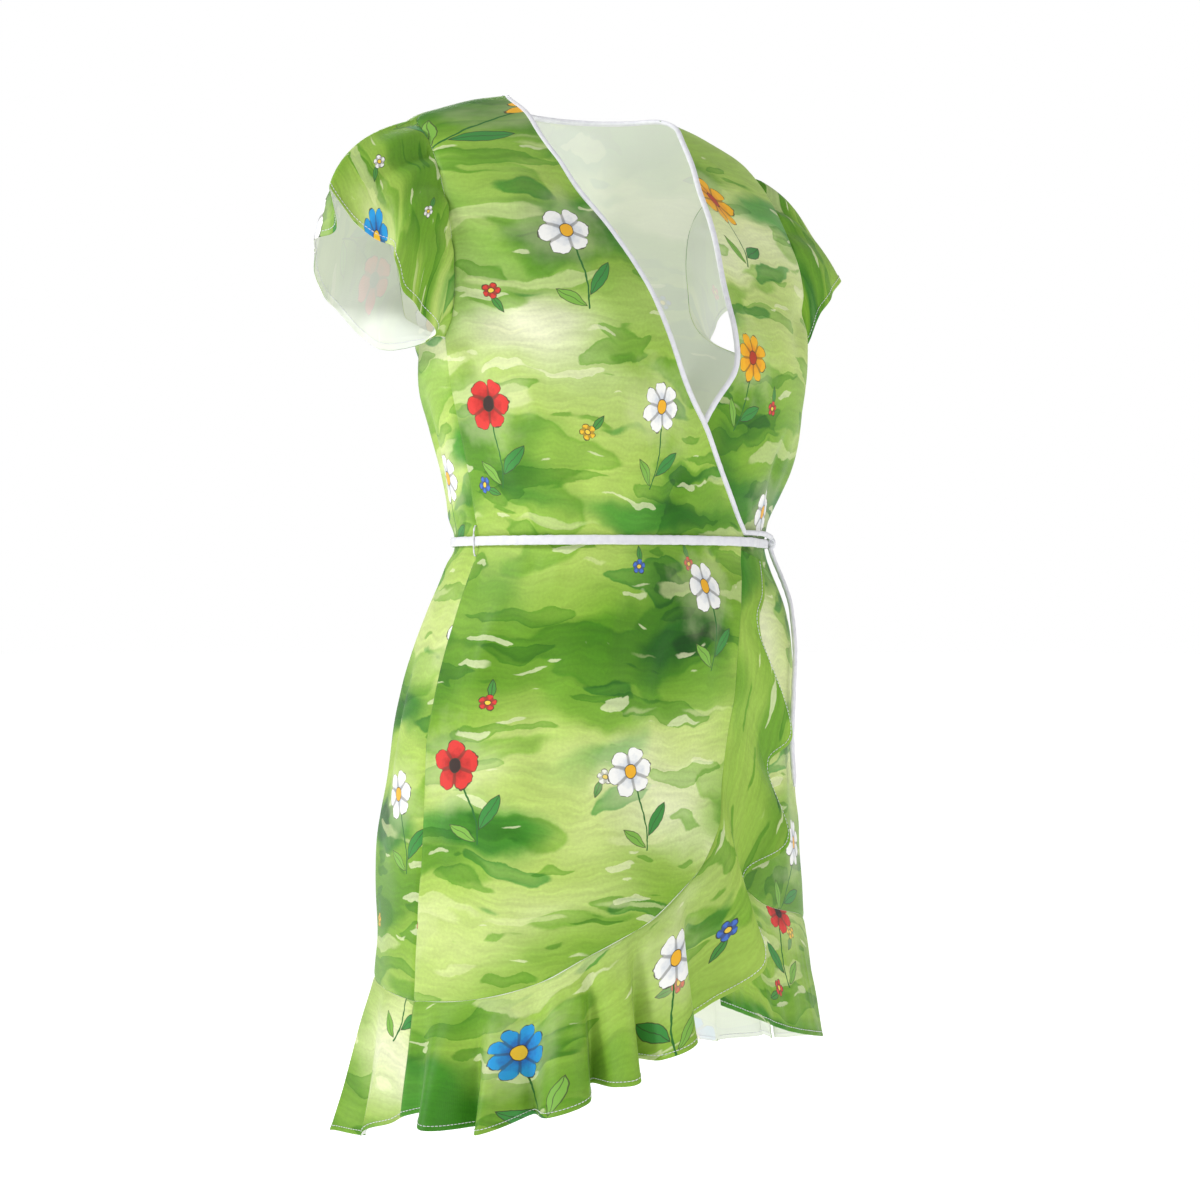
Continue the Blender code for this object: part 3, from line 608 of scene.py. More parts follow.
armhole_front = table(
    # share  angle   drop
    (0.00, 90.0, SHOULDER_DROP),
    (0.12, 83.8, 0.054),
    (0.27, 80.3, 0.081),
    (0.42, 79.3, 0.108),
    (0.55, 78.9, 0.130),
    (0.69, 79.2, 0.157),
    (0.82, 80.8, 0.183),
    (0.93, 84.8, 0.210),
    (1.00, 90.0, UNDERARM_DROP),
)
armhole_back = table(
    # share  angle   drop
    (0.00, 90.0, SHOULDER_DROP),
    (0.12, 99.0, 0.048),
    (0.25, 106.5, 0.066),
    (0.38, 111.5, 0.090),
    (0.52, 114.5, 0.120),
    (0.65, 115.5, 0.150),
    (0.77, 115.5, 0.177),
    (0.86, 112.0, 0.198),
    (0.94, 103.0, 0.213),
    (1.00, 90.0, UNDERARM_DROP),
)
neck_over = table(
    # share  angle   drop
    (0.000, 90.0, 0.000),
    (0.085, 71.5, 0.024),
    (0.196, 54.8, 0.069),
    (0.321, 42.0, 0.122),
    (0.446, 29.5, 0.175),
    (0.592, 19.8, 0.242),
    (0.673, 12.1, 0.275),
    (0.758, 2.3, 0.3035),
    (0.869, -10.1, 0.3455),
    (0.952, -20.5, 0.3755),
    (1.000, -26.5, WRAP_CORNER_DROP),
)
neck_under = table(
    # share  angle   drop
    (0.000, 90.0, 0.000),
    (0.084, 70.0, 0.025),
    (0.157, 53.2, 0.057),
    (0.250, 40.0, 0.0935),
    (0.365, 28.3, 0.139),
    (0.480, 19.6, 0.187),
    (0.564, 15.8, 0.224),
    (0.601, 15.4, 0.241),
    (0.639, 13.0, 0.2555),
    (0.691, 6.2, 0.273),
    (0.749, -0.5, 0.2935),
    (0.875, -12.5, 0.3455),
    (1.000, -26.5, WRAP_CORNER_DROP),
)
seam_over = table(
    # share  angle   drop
    (0.000, 90.0, SIDE_DROP_RIGHT),
    (0.110, 71.6, 0.7875),
    (0.190, 56.8, 0.7735),
    (0.265, 44.9, 0.753),
    (0.325, 35.9, 0.739),
    (0.390, 25.5, 0.7235),
    (0.450, 13.9, 0.699),
    (0.510, 4.6, 0.678),
    (0.565, -2.4, 0.649),
    (0.628, -4.9, 0.611),
    (0.702, -7.5, 0.565),
    (0.760, -9.0, 0.5295),
    (0.833, -10.2, 0.486),
    (0.890, -13.5, 0.452),
    (0.935, -19.9, 0.4265),
    (0.964, -23.6, 0.409),
    (1.000, -26.5, WRAP_CORNER_DROP),
)
OVER_CORNER_SHARE = 0.565
seam_under = table(
    # share  angle   drop
    (0.00, 90.0, SIDE_DROP_LEFT),
    (0.22, 70.0, 0.753),
    (0.42, 52.0, 0.738),
    (0.69, 27.1, 0.7205),
    (0.84, 13.5, 0.697),
    (1.00, -1.0, 0.672),
)
wrap_under = table(
    # share  angle   drop
    (0.00, -1.0, 0.672),
    (0.20, -6.0, 0.615),
    (0.50, -12.0, 0.530),
    (0.75, -19.0, 0.458),
    (0.9167, -25.0, 0.409),
    (1.00, -26.5, WRAP_CORNER_DROP),
)

# %% Laying a panel on the figure
# Levels of a panel count down from its shoulder seam: the underarm, the waist and the end.
UNDERARM_LEVEL, WAIST_LEVEL, BAND_LEVEL, END_LEVEL = 8, 14, 15, 26
SHOULDER_LEVEL = -3        # the back goes on up to the neck edge
LEVEL_HEIGHT = 31 * MM
PANEL_WIDTH = 0.32
FRONT_COLUMNS, FRONT_ROWS = 84, 150
BACK_COLUMNS, BACK_ROWS = 130, 165
BEND_POWER = 1.5           # rows bend slowly below the waist, and then faster
SEAM_LAP = 0.2             # degrees by which a front goes past its seam with the back


def wrap_lift(angle, drop):
    """The over front lies out on the under one, but not at its side seam and its shoulder."""
    return WRAP_LIFT * ease(angle, -86.0, -42.0) * ease(drop, 0.0, 0.12)


def no_lift(angle, drop):
    """The pieces that lie on the figure itself."""
    return 0.0


def side_edge(armhole, bottom_drop, lap=0.0):
    """A panel's side: down its armhole and then down the side seam."""
    stops = ((UNDERARM_LEVEL, UNDERARM_DROP), (WAIST_LEVEL, WAIST_BAND[0]),
             (BAND_LEVEL, WAIST_BAND[1]), (END_LEVEL, bottom_drop))

    def edge(level):
        if level < 0:
            return (90.0, SHOULDER_DROP * (1 - level / SHOULDER_LEVEL))
        if level < UNDERARM_LEVEL:
            return armhole(level / UNDERARM_LEVEL)
        for (start, high), (end, low) in zip(stops, stops[1:]):
            if level <= end:
                break
        return (90.0 + lap, high + (low - high) * (level - start) / (end - start))
    return edge


def wrap_edge(neck, lower):
    """A panel's free side: down its neck edge, and on below the waist."""
    def edge(level):
        if level < WAIST_LEVEL:
            return neck(level / WAIST_LEVEL)
        return lower((level - WAIST_LEVEL) / (END_LEVEL - WAIST_LEVEL))
    return edge


def close_stops(count, low, high, width):
    """Even steps from low to high, with closer ones beside both ends for the seams."""
    steps = spaced(low, high, count)
    for stop in EDGE_STOPS:
        share = stop / width * (high - low)
        steps += [low + share, high - share]
    return sorted(steps)


def panel_places(left, right, bottom, columns, levels):
    """The (angle, drop) places of a panel's grid. Below the waist its rows bend to its seam."""
    sags = [[here - (1 - u) * first - u * last
             for here, first, last in zip(bottom(u), bottom(0), bottom(1))] for u in columns]
    grid = []
    for level in levels:
        ends = list(zip(left(level), right(level)))
        bend = max(0.0, (level - BAND_LEVEL) / (END_LEVEL - BAND_LEVEL)) ** BEND_POWER
        grid.append([tuple((1 - u) * start + u * end + bend * sag
                           for (start, end), sag in zip(ends, sag_here))
                     for u, sag_here in zip(columns, sags)])
    return grid


def lay(places, lift):
    """The points in space of a panel's places, with its creases."""
    return [[on_figure(angle, drop, CLOTH_OUT + lift(angle, drop) + relief(angle, drop))
             for angle, drop in line] for line in places]


def print_places(places, shift):
    """Where a panel's points lie on the printed cloth, in metres, before it was cut.

    Each piece has its own shift, so it was cut from another part of the print.
    """
    return [[(math.radians(angle) * GIRTH_RADIUS + shift[0], -drop + shift[1])
             for angle, drop in line] for line in places]


# %% Over front, under front and back
def front(name, side, neck, bottom, lower, lift, bottom_drop, shift):
    """One front. side is -1 for the wearer's right and 1 for the left."""
    columns = close_stops(FRONT_COLUMNS, 0.0, 1.0, PANEL_WIDTH)
    levels = close_stops(FRONT_ROWS, 0, END_LEVEL, LEVEL_HEIGHT * END_LEVEL)
    places = panel_places(side_edge(armhole_front, bottom_drop, SEAM_LAP),
                          wrap_edge(neck, lower), bottom, columns, levels)
    places[0] = [(angle + SEAM_LAP, drop) for angle, drop in places[0]]
    places = [[(angle * side, drop) for angle, drop in line] for line in places]
    if side > 0:
        places = [line[::-1] for line in places]
    side_name = "left" if side < 0 else "right"
    edges = {side_name: seam_profile, "top": seam_profile, "bottom": seam_profile}
    return make_cloth(name, lay(places, lift), print_places(places, shift), edges)


front_over = front(
    "front_over_cloth", -1, neck_over,
    lambda u: seam_over(u * OVER_CORNER_SHARE),
    lambda t: seam_over(1 - t * (1 - OVER_CORNER_SHARE)),
    wrap_lift, SIDE_DROP_RIGHT, (3.00, 5.00))
front_under = front(
    "front_under_cloth", 1, neck_under, seam_under, lambda t: wrap_under(1 - t),
    no_lift, SIDE_DROP_LEFT, (5.31, 7.13))


def back_seam(u):
    """The back's flounce seam, from the left side seam round to the right one."""
    return (90.0 + 180.0 * u, SIDE_DROP_LEFT + (SIDE_DROP_RIGHT - SIDE_DROP_LEFT) * u)


def back_right(level):
    """The back's right side mirrors its left, down to a lower flounce seam."""
    angle, drop = side_edge(armhole_back, SIDE_DROP_RIGHT)(level)
    return (360.0 - angle, drop)


back_places = panel_places(
    side_edge(armhole_back, SIDE_DROP_LEFT), back_right, back_seam,
    close_stops(BACK_COLUMNS, 0.0, 1.0, 2 * PANEL_WIDTH),
    close_stops(BACK_ROWS, SHOULDER_LEVEL, END_LEVEL,
                LEVEL_HEIGHT * (END_LEVEL - SHOULDER_LEVEL)))
back = make_cloth("back_cloth", lay(back_places, no_lift), print_places(back_places, (8.2, 6.07)),
                  {"left": seam_profile, "right": seam_profile, "bottom": seam_profile})

# %% [markdown]
# ## Flounces
#
# The flounce is cut on a curve, so its hem is longer than its seam and falls in flutes. It
# runs round the hem and, on the over front, on up the wrap edge as a cascade that folds over
# itself. A cloth simulation would find its own flutes, but these are known one by one, so
# ribs run from the seam to the hem, and a row of a table gives each crest and each trough. A
# crest close beside its trough stands over it, and that makes the sharp edge of a fold.

# %% Crests and troughs
flounce_over_at = table(
    # share  hem_angle  hem_drop  hem_out
    (0.000, 90.0, 0.893, 0.012),
    (0.025, 83.5, 0.886, 0.009),
    (0.060, 77.0, 0.8930, 0.038),
    (0.110, 68.4, 0.891, 0.007),
    (0.145, 66.0, 0.892, 0.040),
    (0.185, 56.8, 0.880, 0.005),
    (0.218, 53.2, 0.877, 0.038),
    (0.248, 45.2, 0.866, 0.035),
    (0.274, 43.2, 0.855, 0.006),
    (0.302, 39.4, 0.855, 0.030),
    (0.335, 34.0, 0.851, 0.036),
    (0.365, 32.2, 0.837, 0.006),
    (0.395, 27.5, 0.836, 0.028),
    (0.435, 18.4, 0.824, 0.034),
    (0.468, 16.2, 0.811, 0.007),
    (0.503, 7.6, 0.799, 0.008),
    (0.550, -8.4, 0.768, 0.030),
    (0.632, -10.8, 0.6955, 0.007),
    (0.697, -28.1, 0.666, 0.020),
    (0.757, -28.0, 0.599, 0.005),
    (0.818, -31.6, 0.565, 0.018),
    (0.878, -20.0, 0.476, 0.004),
    (0.920, -26.0, 0.450, 0.006),
    (0.964, -34.5, 0.420, 0.005),
    (1.000, -36.0, 0.400, 0.005),
)
flounce_under_at = table(
    # share  hem_angle  hem_drop  hem_out
    (0.00, 90.0, 0.876, 0.012),
    (0.05, 85.5, 0.873, 0.009),
    (0.16, 76.0, 0.866, 0.020),
    (0.28, 64.0, 0.857, 0.011),
    (0.45, 48.5, 0.848, 0.016),
    (0.64, 31.0, 0.834, 0.009),
    (0.79, 18.0, 0.8195, 0.007),
    (0.90, 9.0, 0.8095, 0.004),
    (1.00, 1.0, 0.801, 0.003),
)
FLOUNCE_TOP_SHARE = 0.965
BACK_FLUTES = 10
back_hem_at = table(
    # share  hem_drop
    (0.00, 0.876),
    (0.07, 0.884),
    (0.25, 0.902),
    (0.50, 0.916),
    (0.80, 0.925),
    (0.93, 0.917),
    (1.00, 0.893),
)
FLUTE_TROUGH = 0.009       # how far out the back's flutes stand, at the least
FLUTE_CREST = 0.031        # and at the most
FLUTE_SWAY = 1.3           # degrees by which they lean to one side and the other
FLUTE_MIDDLE = 0.018       # what stands further out than this is moved out, and the rest in
FLUTE_GAIN = 1.2
FLARE_POWER, RIB_TURN, RIB_FALL = 1.1, 0.75, 1.15  # how soon a rib goes out, round and down


def back_rib(share):
    """The back's flutes are even enough for a formula."""
    phase = 2 * math.pi * BACK_FLUTES * share
    free = ease(share, 0.0, 0.03) * ease(1 - share, 0.0, 0.03)
    depth = 0.82 + 0.18 * math.sin(5.3 * share * math.pi + 0.6)     # some stand out less
    out = FLUTE_TROUGH + (FLUTE_CREST - FLUTE_TROUGH) * depth * (0.5 - 0.5 * math.cos(phase))
    angle = 90.0 + 180.0 * share - FLUTE_SWAY * math.sin(2 * phase) * free
    return (angle, back_hem_at(share)[0], out)


# %% Ribs
RIB_POINTS = 34
HEM_CLEAR = 8 * MM         # a rib's even points stop this far above its hem
SHORTEST_RIB = 20 * MM
SHORTEST_SLEEVE_RIB = 12 * MM
SEAM_PUCKER = 0.5 * MM     # the curved edge is eased a little as it is sewn on
PUCKERS_ROUND = 95.0
RIB_WANDER = 1.6 * MM
LEAST_OUT = 3 * MM


def rib_point(start, end, side, lift, share, w):
    """A point of a rib at w from the seam, 0, to the hem, 1.

    The noise is read at another place on each side, so no two flounces are alike.
    """
    angle, drop = start
    hem_angle, hem_drop, hem_out = end
    hem_out = max(FLUTE_MIDDLE + (hem_out - FLUTE_MIDDLE) * FLUTE_GAIN, LEAST_OUT)
    here = (angle + (hem_angle - angle) * w ** RIB_TURN) * side
    down = drop + (hem_drop - drop) * w ** RIB_FALL
    eased = SEAM_PUCKER * noise.noise(Vector((share * PUCKERS_ROUND, w * 1.5, 3.0 * side)))
    eased *= 4 * w * (1 - w)
    wander = RIB_WANDER * noise.noise(Vector((share * 26.0, w * 2.2, 9.0 + side))) * w
    out = lift(here, down) + hem_out * w ** FLARE_POWER + eased + wander
    return on_figure(here, down, CLOTH_OUT + out + relief(here, down) * (1 - w))


def rib_stops(length):
    """Places along a rib: close beside its seam and over its hem."""
    near = sorted({*spaced(0.0, length - HEM_CLEAR, RIB_POINTS), *EDGE_STOPS[:4]})
    stops = near + [length - stop for stop in reversed(HEM_STOPS)] + [length]
    return [stop / length for stop in stops]


def make_flounce(name, seam_at, hem_at, side, lift, shares, shift, sewn_ends, reverse=False):
    """A flounce with a rib at each share, with its hem stitched."""
    points, uvs = [], []
    along = 0.0
    before = None
    for share in shares:
        start, end = seam_at(share), hem_at(share)
        line = [rib_point(start, end, side, lift, share, w) for w in spaced(0.0, 1.0, 8)]
        length = max(sum((b - a).length for a, b in zip(line, line[1:])), SHORTEST_RIB)
        along += (line[0] - before).length if before else 0.0
        before = line[0]
        stops = rib_stops(length)
        points.append([rib_point(start, end, side, lift, share, w) for w in stops])
        uvs.append([(shift[0] + along * side, shift[1] - w * length) for w in stops])
    if reverse:
        points, uvs = points[::-1], uvs[::-1]
    grid = [list(row) for row in zip(*points)]
    flat = [list(row) for row in zip(*uvs)]
    edges = {"bottom": hem_profile, **dict.fromkeys(("top", *sewn_ends), seam_profile)}
    piece = make_cloth(name, grid, flat, edges)
    stitch_hem(grid)
    return piece


HEM_RIBS, CASCADE_RIBS, UNDER_RIBS, BACK_RIBS = 330, 230, 190, 380
over_shares = (spaced(0.0, OVER_CORNER_SHARE, HEM_RIBS)
               + spaced(OVER_CORNER_SHARE, FLOUNCE_TOP_SHARE, CASCADE_RIBS)[1:])
flounce_over = make_flounce("flounce_over_cloth", seam_over, flounce_over_at, -1, wrap_lift,
                            over_shares, (12.4, 9.3), ("left",))
flounce_under = make_flounce("flounce_under_cloth", seam_under, flounce_under_at, 1, no_lift,
                             spaced(0.0, 1.0, UNDER_RIBS), (14.2, 3.1), ("right",),
                             reverse=True)
flounce_back = make_flounce("flounce_back_cloth", back_seam, back_rib, 1, no_lift,
                            spaced(0.0, 1.0, BACK_RIBS), (17.3, 4.4), ("left", "right"))

# %% [markdown]
# ## Sleeves
#
# A flutter sleeve is one curved layer, a little gathered into the armhole over the shoulder,
# so it stands out there and falls in loose lobes. Each is a ring of bent ribs from the
# armhole to the hem. A half circle bent by a modifier would give even waves, and these are
# not even, so a table gives where the hem lies, and another the gathers and folds.

# %% Sleeve tables
sleeve_right_hem = table(
    # share  side    back    drop
    (0.00, 0.2060, -0.034, 0.2340),
    (0.06, 0.2130, -0.054, 0.2250),
    (0.14, 0.2352, -0.067, 0.2103),
    (0.22, 0.2600, -0.076, 0.1950),
    (0.28, 0.2675, -0.075, 0.1730),
    (0.34, 0.2645, -0.066, 0.1570),
    (0.39, 0.2745, -0.053, 0.1500),
    (0.44, 0.2850, -0.037, 0.1350),
    (0.50, 0.2960, -0.018, 0.1045),
    (0.55, 0.2620, 0.018, 0.1340),
    (0.61, 0.2640, 0.048, 0.1420),
    (0.70, 0.2480, 0.068, 0.1720),
    (0.79, 0.2220, 0.078, 0.1950),
    (0.87, 0.2055, 0.062, 0.2200),
    (0.94, 0.2065, 0.022, 0.2345),
    (1.00, 0.2060, -0.034, 0.2340),
)
sleeve_left_hem = table(
    # share  side    back    drop
    (0.00, 0.2080, -0.034, 0.2350),
    (0.06, 0.2110, -0.060, 0.2220),
    (0.14, 0.2200, -0.068, 0.1960),
    (0.23, 0.2420, -0.067, 0.1680),
    (0.31, 0.2660, -0.058, 0.1470),
    (0.39, 0.2840, -0.044, 0.1330),
    (0.46, 0.2760, -0.020, 0.1260),
    (0.53, 0.2880, 0.008, 0.1260),
    (0.60, 0.2720, 0.040, 0.1420),
    (0.67, 0.2700, 0.062, 0.1500),
    (0.75, 0.2470, 0.074, 0.1600),
    (0.83, 0.2300, 0.080, 0.1780),
    (0.90, 0.2120, 0.060, 0.2120),
    (0.95, 0.2090, 0.014, 0.2370),
    (1.00, 0.2080, -0.034, 0.2350),
)
SLEEVE_RIBS = 260
SLEEVE_WAVES = 15.0        # loose waves round the hem of a sleeve
SLEEVE_WAVE_DEPTH = 8.0 * MM
SLEEVE_SEAM = 0.45         # length of its seam, and
SLEEVE_FAN = 2.6           # the radians it spans when flat, cut as part of a ring
SLEEVE_REACH_SIDE = 0.42   # how far a rib goes on straight out of its seam, as a share:
SLEEVE_REACH_CAP = 0.62    # least beside the body and most at the cap, over the shoulder
CAP_STARTS = 0.22
# Folds run down the sleeve from its seam: where, how they drift, how far, and how deep.
SLEEVE_FOLDS = (
    # share  drift  start  end   width  depth
    (0.150, 0.01, 0.10, 1.10, 0.028, 0.0022),
    (0.205, 0.01, 0.00, 0.60, 0.016, -0.0016),
    (0.255, 0.02, 0.00, 0.95, 0.030, 0.0036),
    (0.318, 0.02, 0.00, 0.70, 0.018, -0.0026),
    (0.356, 0.02, 0.00, 0.45, 0.012, 0.0014),
    (0.402, 0.01, 0.00, 0.90, 0.020, -0.0056),
    (0.448, 0.00, 0.00, 0.95, 0.021, 0.0042),
    (0.490, 0.00, 0.00, 0.45, 0.012, -0.0020),
    (0.522, 0.00, 0.00, 0.70, 0.015, 0.0018),
    (0.566, 0.01, 0.00, 0.80, 0.019, -0.0034),
    (0.618, -0.01, 0.00, 0.85, 0.023, 0.0030),
    (0.672, -0.02, 0.00, 0.60, 0.016, -0.0020),
    (0.780, -0.02, 0.10, 1.10, 0.028, 0.0026),
)


def sleeve_fold(share, w):
    """How far the folds move a sleeve out, at w from its seam, 0, to its hem, 1."""
    total = 0.0
    for at, drift, start, end, width, depth in SLEEVE_FOLDS:
        if w > end:
            continue
        off = (share - at - drift * w) / (width * (1 + 0.8 * w))
        fade = 1 - ease(w, start + 0.25 * (end - start), end)
        total += depth * math.exp(-off * off) * fade * ease(w, -0.02, 0.10)
    return total


# %% Making the sleeves
def armhole_place(share):
    """Up the front of the armhole from the underarm, over the shoulder and down the back."""
    if share < 0.5:
        return armhole_front(1 - 2 * share)
    return armhole_back(2 * share - 1)


def sleeve_rib(share, side, hem_at, lift):
    """The start, the bend and the end of a rib. The seam tucks in under the panel's edge."""
    angle, drop = armhole_place(share % 1.0)
    angle *= side
    start = on_figure(angle, drop, CLOTH_OUT - SEAM_DIP + lift(angle, drop) + relief(angle, drop))
    to_side, back_by, drop = hem_at(share)
    end = Vector((to_side * side, back_by, -drop))
    cap = ease(share, CAP_STARTS, 0.5) * ease(1 - share, CAP_STARTS, 0.5)
    lean = 0.55 * (share - 0.5) * (1 - cap)
    first = Vector((side, 2 * lean, 0.10 - 0.40 * cap)).normalized()
    reach = SLEEVE_REACH_SIDE + (SLEEVE_REACH_CAP - SLEEVE_REACH_SIDE) * cap
    return start, start + first * (end - start).length * reach, end


def ruffle_sleeve(grid, side):
    """Move a sleeve's points out and in by its folds and loose waves."""
    last = len(grid) - 1
    for i, (line, normals) in enumerate(zip(grid, grid_normals(grid, True))):
        w = i / last
        for j in range(SLEEVE_RIBS):
            share = (SLEEVE_RIBS - 1 - j if side < 0 else j) / SLEEVE_RIBS
            wave = noise.noise(Vector((share * SLEEVE_WAVES, 1.7 * side, w * 0.8)))
            line[j] += normals[j] * (sleeve_fold(share, w) + SLEEVE_WAVE_DEPTH * wave * w ** 1.4)


def make_sleeve(name, side, hem_at, lift, shift):
    """A sleeve: a closed ring of ribs, with its hem stitched."""
    seam_radius = SLEEVE_SEAM / SLEEVE_FAN
    points, uvs = [], []
    for k in range(SLEEVE_RIBS + 1):
        share = k / SLEEVE_RIBS
        start, bend, end = sleeve_rib(share, side, hem_at, lift)
        length = (end - start).length
        stops = rib_stops(max(length, SHORTEST_SLEEVE_RIB))
        fan = (share - 0.5) * SLEEVE_FAN * side
        uvs.append([(shift[0] + (seam_radius + w * length) * math.sin(fan),
                     shift[1] - (seam_radius + w * length) * math.cos(fan)) for w in stops])
        points.append([(1 - w) ** 2 * start + 2 * w * (1 - w) * bend + w * w * end
                       for w in stops])
    points.pop()
    if side < 0:
        points, uvs = points[::-1], uvs[::-1]
        uvs = uvs[-1:] + uvs[:-1]
    grid = [list(row) for row in zip(*points)]
    flat = [list(row) for row in zip(*uvs)]
    ruffle_sleeve(grid, side)
    piece = make_cloth(name, grid, flat, {"bottom": hem_profile}, ring=True)
    stitch_hem(grid, ring=True)
    return piece


sleeve_right = make_sleeve("sleeve_right_cloth", -1, sleeve_right_hem, wrap_lift, (21.2, 2.2))
sleeve_left = make_sleeve("sleeve_left_cloth", 1, sleeve_left_hem, no_lift, (23.4, 8.6))

# %% Joining the stitches
hem_stitches = new_piece("hem_stitches", stitch_points, stitch_faces)
faces_each = (len(STITCH_SHAPE) - 1) * THREAD_SIDES + 2
print("stitches:", len(stitch_faces) // faces_each)

# %% [markdown]
# ## Binding, tie, strap, knot and thread loops
#
# The neck edge is bound with a rolled white strip that reads as a soft cord. It runs down the
# over front to the waist, where a short strap goes on to the knot. The tie is a flat tube of
# the same cloth, once round the waist. All are bands with a soft, slightly dented section.

# %% Neck binding
BINDING_HALF, BINDING_HALF_THICK = 2.6 * MM, 2.1 * MM
BINDING_OUT = 0.6 * MM
FRONT_STEPS, BACK_STEPS = 290, 110         # points down each front and round the back neck
CORNER_PASSES = 30


def front_neck(neck, side):
    """The places down one front's neck edge, from the neck point to the waist corner."""
    down = [neck(share) for share in spaced(0.0, 1.0, FRONT_STEPS)[1:]]
    return [(angle * side, drop) for angle, drop in down]


over_places = front_neck(neck_over, -1)[::-1]
behind_places = [(angle, 0.0) for angle in spaced(270.0, 90.0, BACK_STEPS)]
binding_places = over_places + behind_places + front_neck(neck_under, 1)
binding_line, binding_outs = [], []
for i, (angle, drop) in enumerate(binding_places):
    lift = wrap_lift(angle, drop) if i < len(over_places) else 0.0
    binding_line.append(on_figure(angle, drop, lift + BINDING_OUT + relief(angle, drop)))
    binding_outs.append(figure_normal(angle, drop))
binding_line = soften(binding_line, CORNER_PASSES)
binding_outs = [out.normalized() for out in soften(binding_outs, CORNER_PASSES)]
neck_binding = sweep("neck_binding_roll", binding_line, binding_outs,
                     soft_section(BINDING_HALF, BINDING_HALF_THICK, 0.05, binding_line))

# %% Waist tie
KNOT_ANGLE = 63.0
TIE_HALF_HEIGHT = 4.1 * MM
TIE_HALF_THICK = 1.35 * MM
TIE_STAND = CLOTH_OUT + TIE_HALF_THICK + 0.1 * MM


def band_point(angle, out):
    """A point at the middle of the waist, at a distance out from the cloth's own figure."""
    return on_figure(angle, WAIST_BAND[0], out).lerp(on_figure(angle, WAIST_BAND[1], out), 0.5)


def tie_out(angle):
    """The tie lies further out where it crosses the wrap, and steps down at both ends."""
    turned = angle if angle > -180.0 else angle + 360.0
    return TIE_STAND + WRAP_LIFT * ease(turned, -88.0, -50.0) * ease(-turned, -44.0, -30.0)


TIE_STEPS = 420
KNOT_GAP = 2.6             # degrees from the knot's middle to either end of the tie
tie_angles = spaced(KNOT_ANGLE - KNOT_GAP, KNOT_ANGLE + KNOT_GAP - 360.0, TIE_STEPS)
tie_line = [band_point(angle, tie_out(angle)) for angle in tie_angles]
waist_tie = sweep("waist_tie_band", tie_line,
                  [figure_normal(angle, WAIST_DROP) for angle in tie_angles],
                  soft_section(TIE_HALF_HEIGHT, TIE_HALF_THICK, 0.10, tie_line, fullness=3.2),
                  sides=20)

# %% Wrap strap
# It leaves the waist corner of the over front, lies on the under one and goes into the knot.
STRAP_HALF, STRAP_HALF_THICK = 2.4 * MM, 1.9 * MM
KNOT_STAND = 5.2 * MM      # the knot's middle, out from the cloth
knot_centre = band_point(KNOT_ANGLE, CLOTH_OUT + KNOT_STAND) + Vector((0, 0, MM))
strap_angle, strap_drop = neck_over(1.0)
strap_stops = (
    on_figure(-strap_angle - 0.4, strap_drop - 0.6 * MM, WRAP_LIFT + 0.6 * MM),
    on_figure(44.0, strap_drop - 0.8 * MM, 6.0 * MM),
    knot_centre + Vector((-2.4, -4.2, 4.8)) * MM,
)
strap_line = smooth_route(strap_stops, 60)
wrap_strap = sweep("wrap_strap_band", strap_line,
                   [figure_normal(40.0, strap_drop)] * len(strap_line),
                   soft_section(STRAP_HALF, STRAP_HALF_THICK, 0.09, strap_line))

# %% Knot
# Two turns of the band lie over a soft core, each on its own slant.
KNOT_TURNS = (
    # lean  half_height  half_depth  along  half_width, in millimetres
    (0.35, 4.9, 3.6, 1.2, 3.0),
    (-0.55, 4.3, 3.0, -2.6, 2.3),
)
LOOP_STEPS, CORE_STEPS = 48, 20
TURN_HALF_THICK = 1.2 * MM
CORE_REACH = 4.8 * MM      # to each side along the waist
CORE_HALF, CORE_HALF_THICK = 3.6 * MM, 2.9 * MM
knot_up = Vector((0, 0, 1))
knot_out = figure_normal(KNOT_ANGLE, WAIST_DROP)
knot_side = knot_up.cross(knot_out).normalized()


def knot_loop(lean, half_height, half_depth, shift):
    """Points of a turn of the band, with the directions that point away from its middle."""
    line, outs = [], []
    slant = knot_side * math.sin(lean) + knot_up * math.cos(lean)
    for turn in spaced(0.0, 2 * math.pi, LOOP_STEPS):
        away = slant * math.cos(turn) * half_height + knot_out * math.sin(turn) * half_depth
        line.append(knot_centre + away + shift)
        outs.append(away.normalized())
    return line, outs


knot_parts = []
for number, (lean, height, depth, along, width) in enumerate(KNOT_TURNS):
    loop_line, loop_outs = knot_loop(lean, height * MM, depth * MM, knot_side * along * MM)
    knot_parts.append(sweep(f"tie_knot_turn_{number + 1}", loop_line, loop_outs,
                            soft_section(width * MM, TURN_HALF_THICK, 0.12, loop_line),
                            sides=14))
core_line = [knot_centre + knot_side * along
             for along in spaced(-CORE_REACH, CORE_REACH, CORE_STEPS)]
knot_parts.append(sweep("tie_knot_core", core_line, [knot_out] * len(core_line),
                        soft_section(CORE_HALF, CORE_HALF_THICK, 0.10, core_line)))

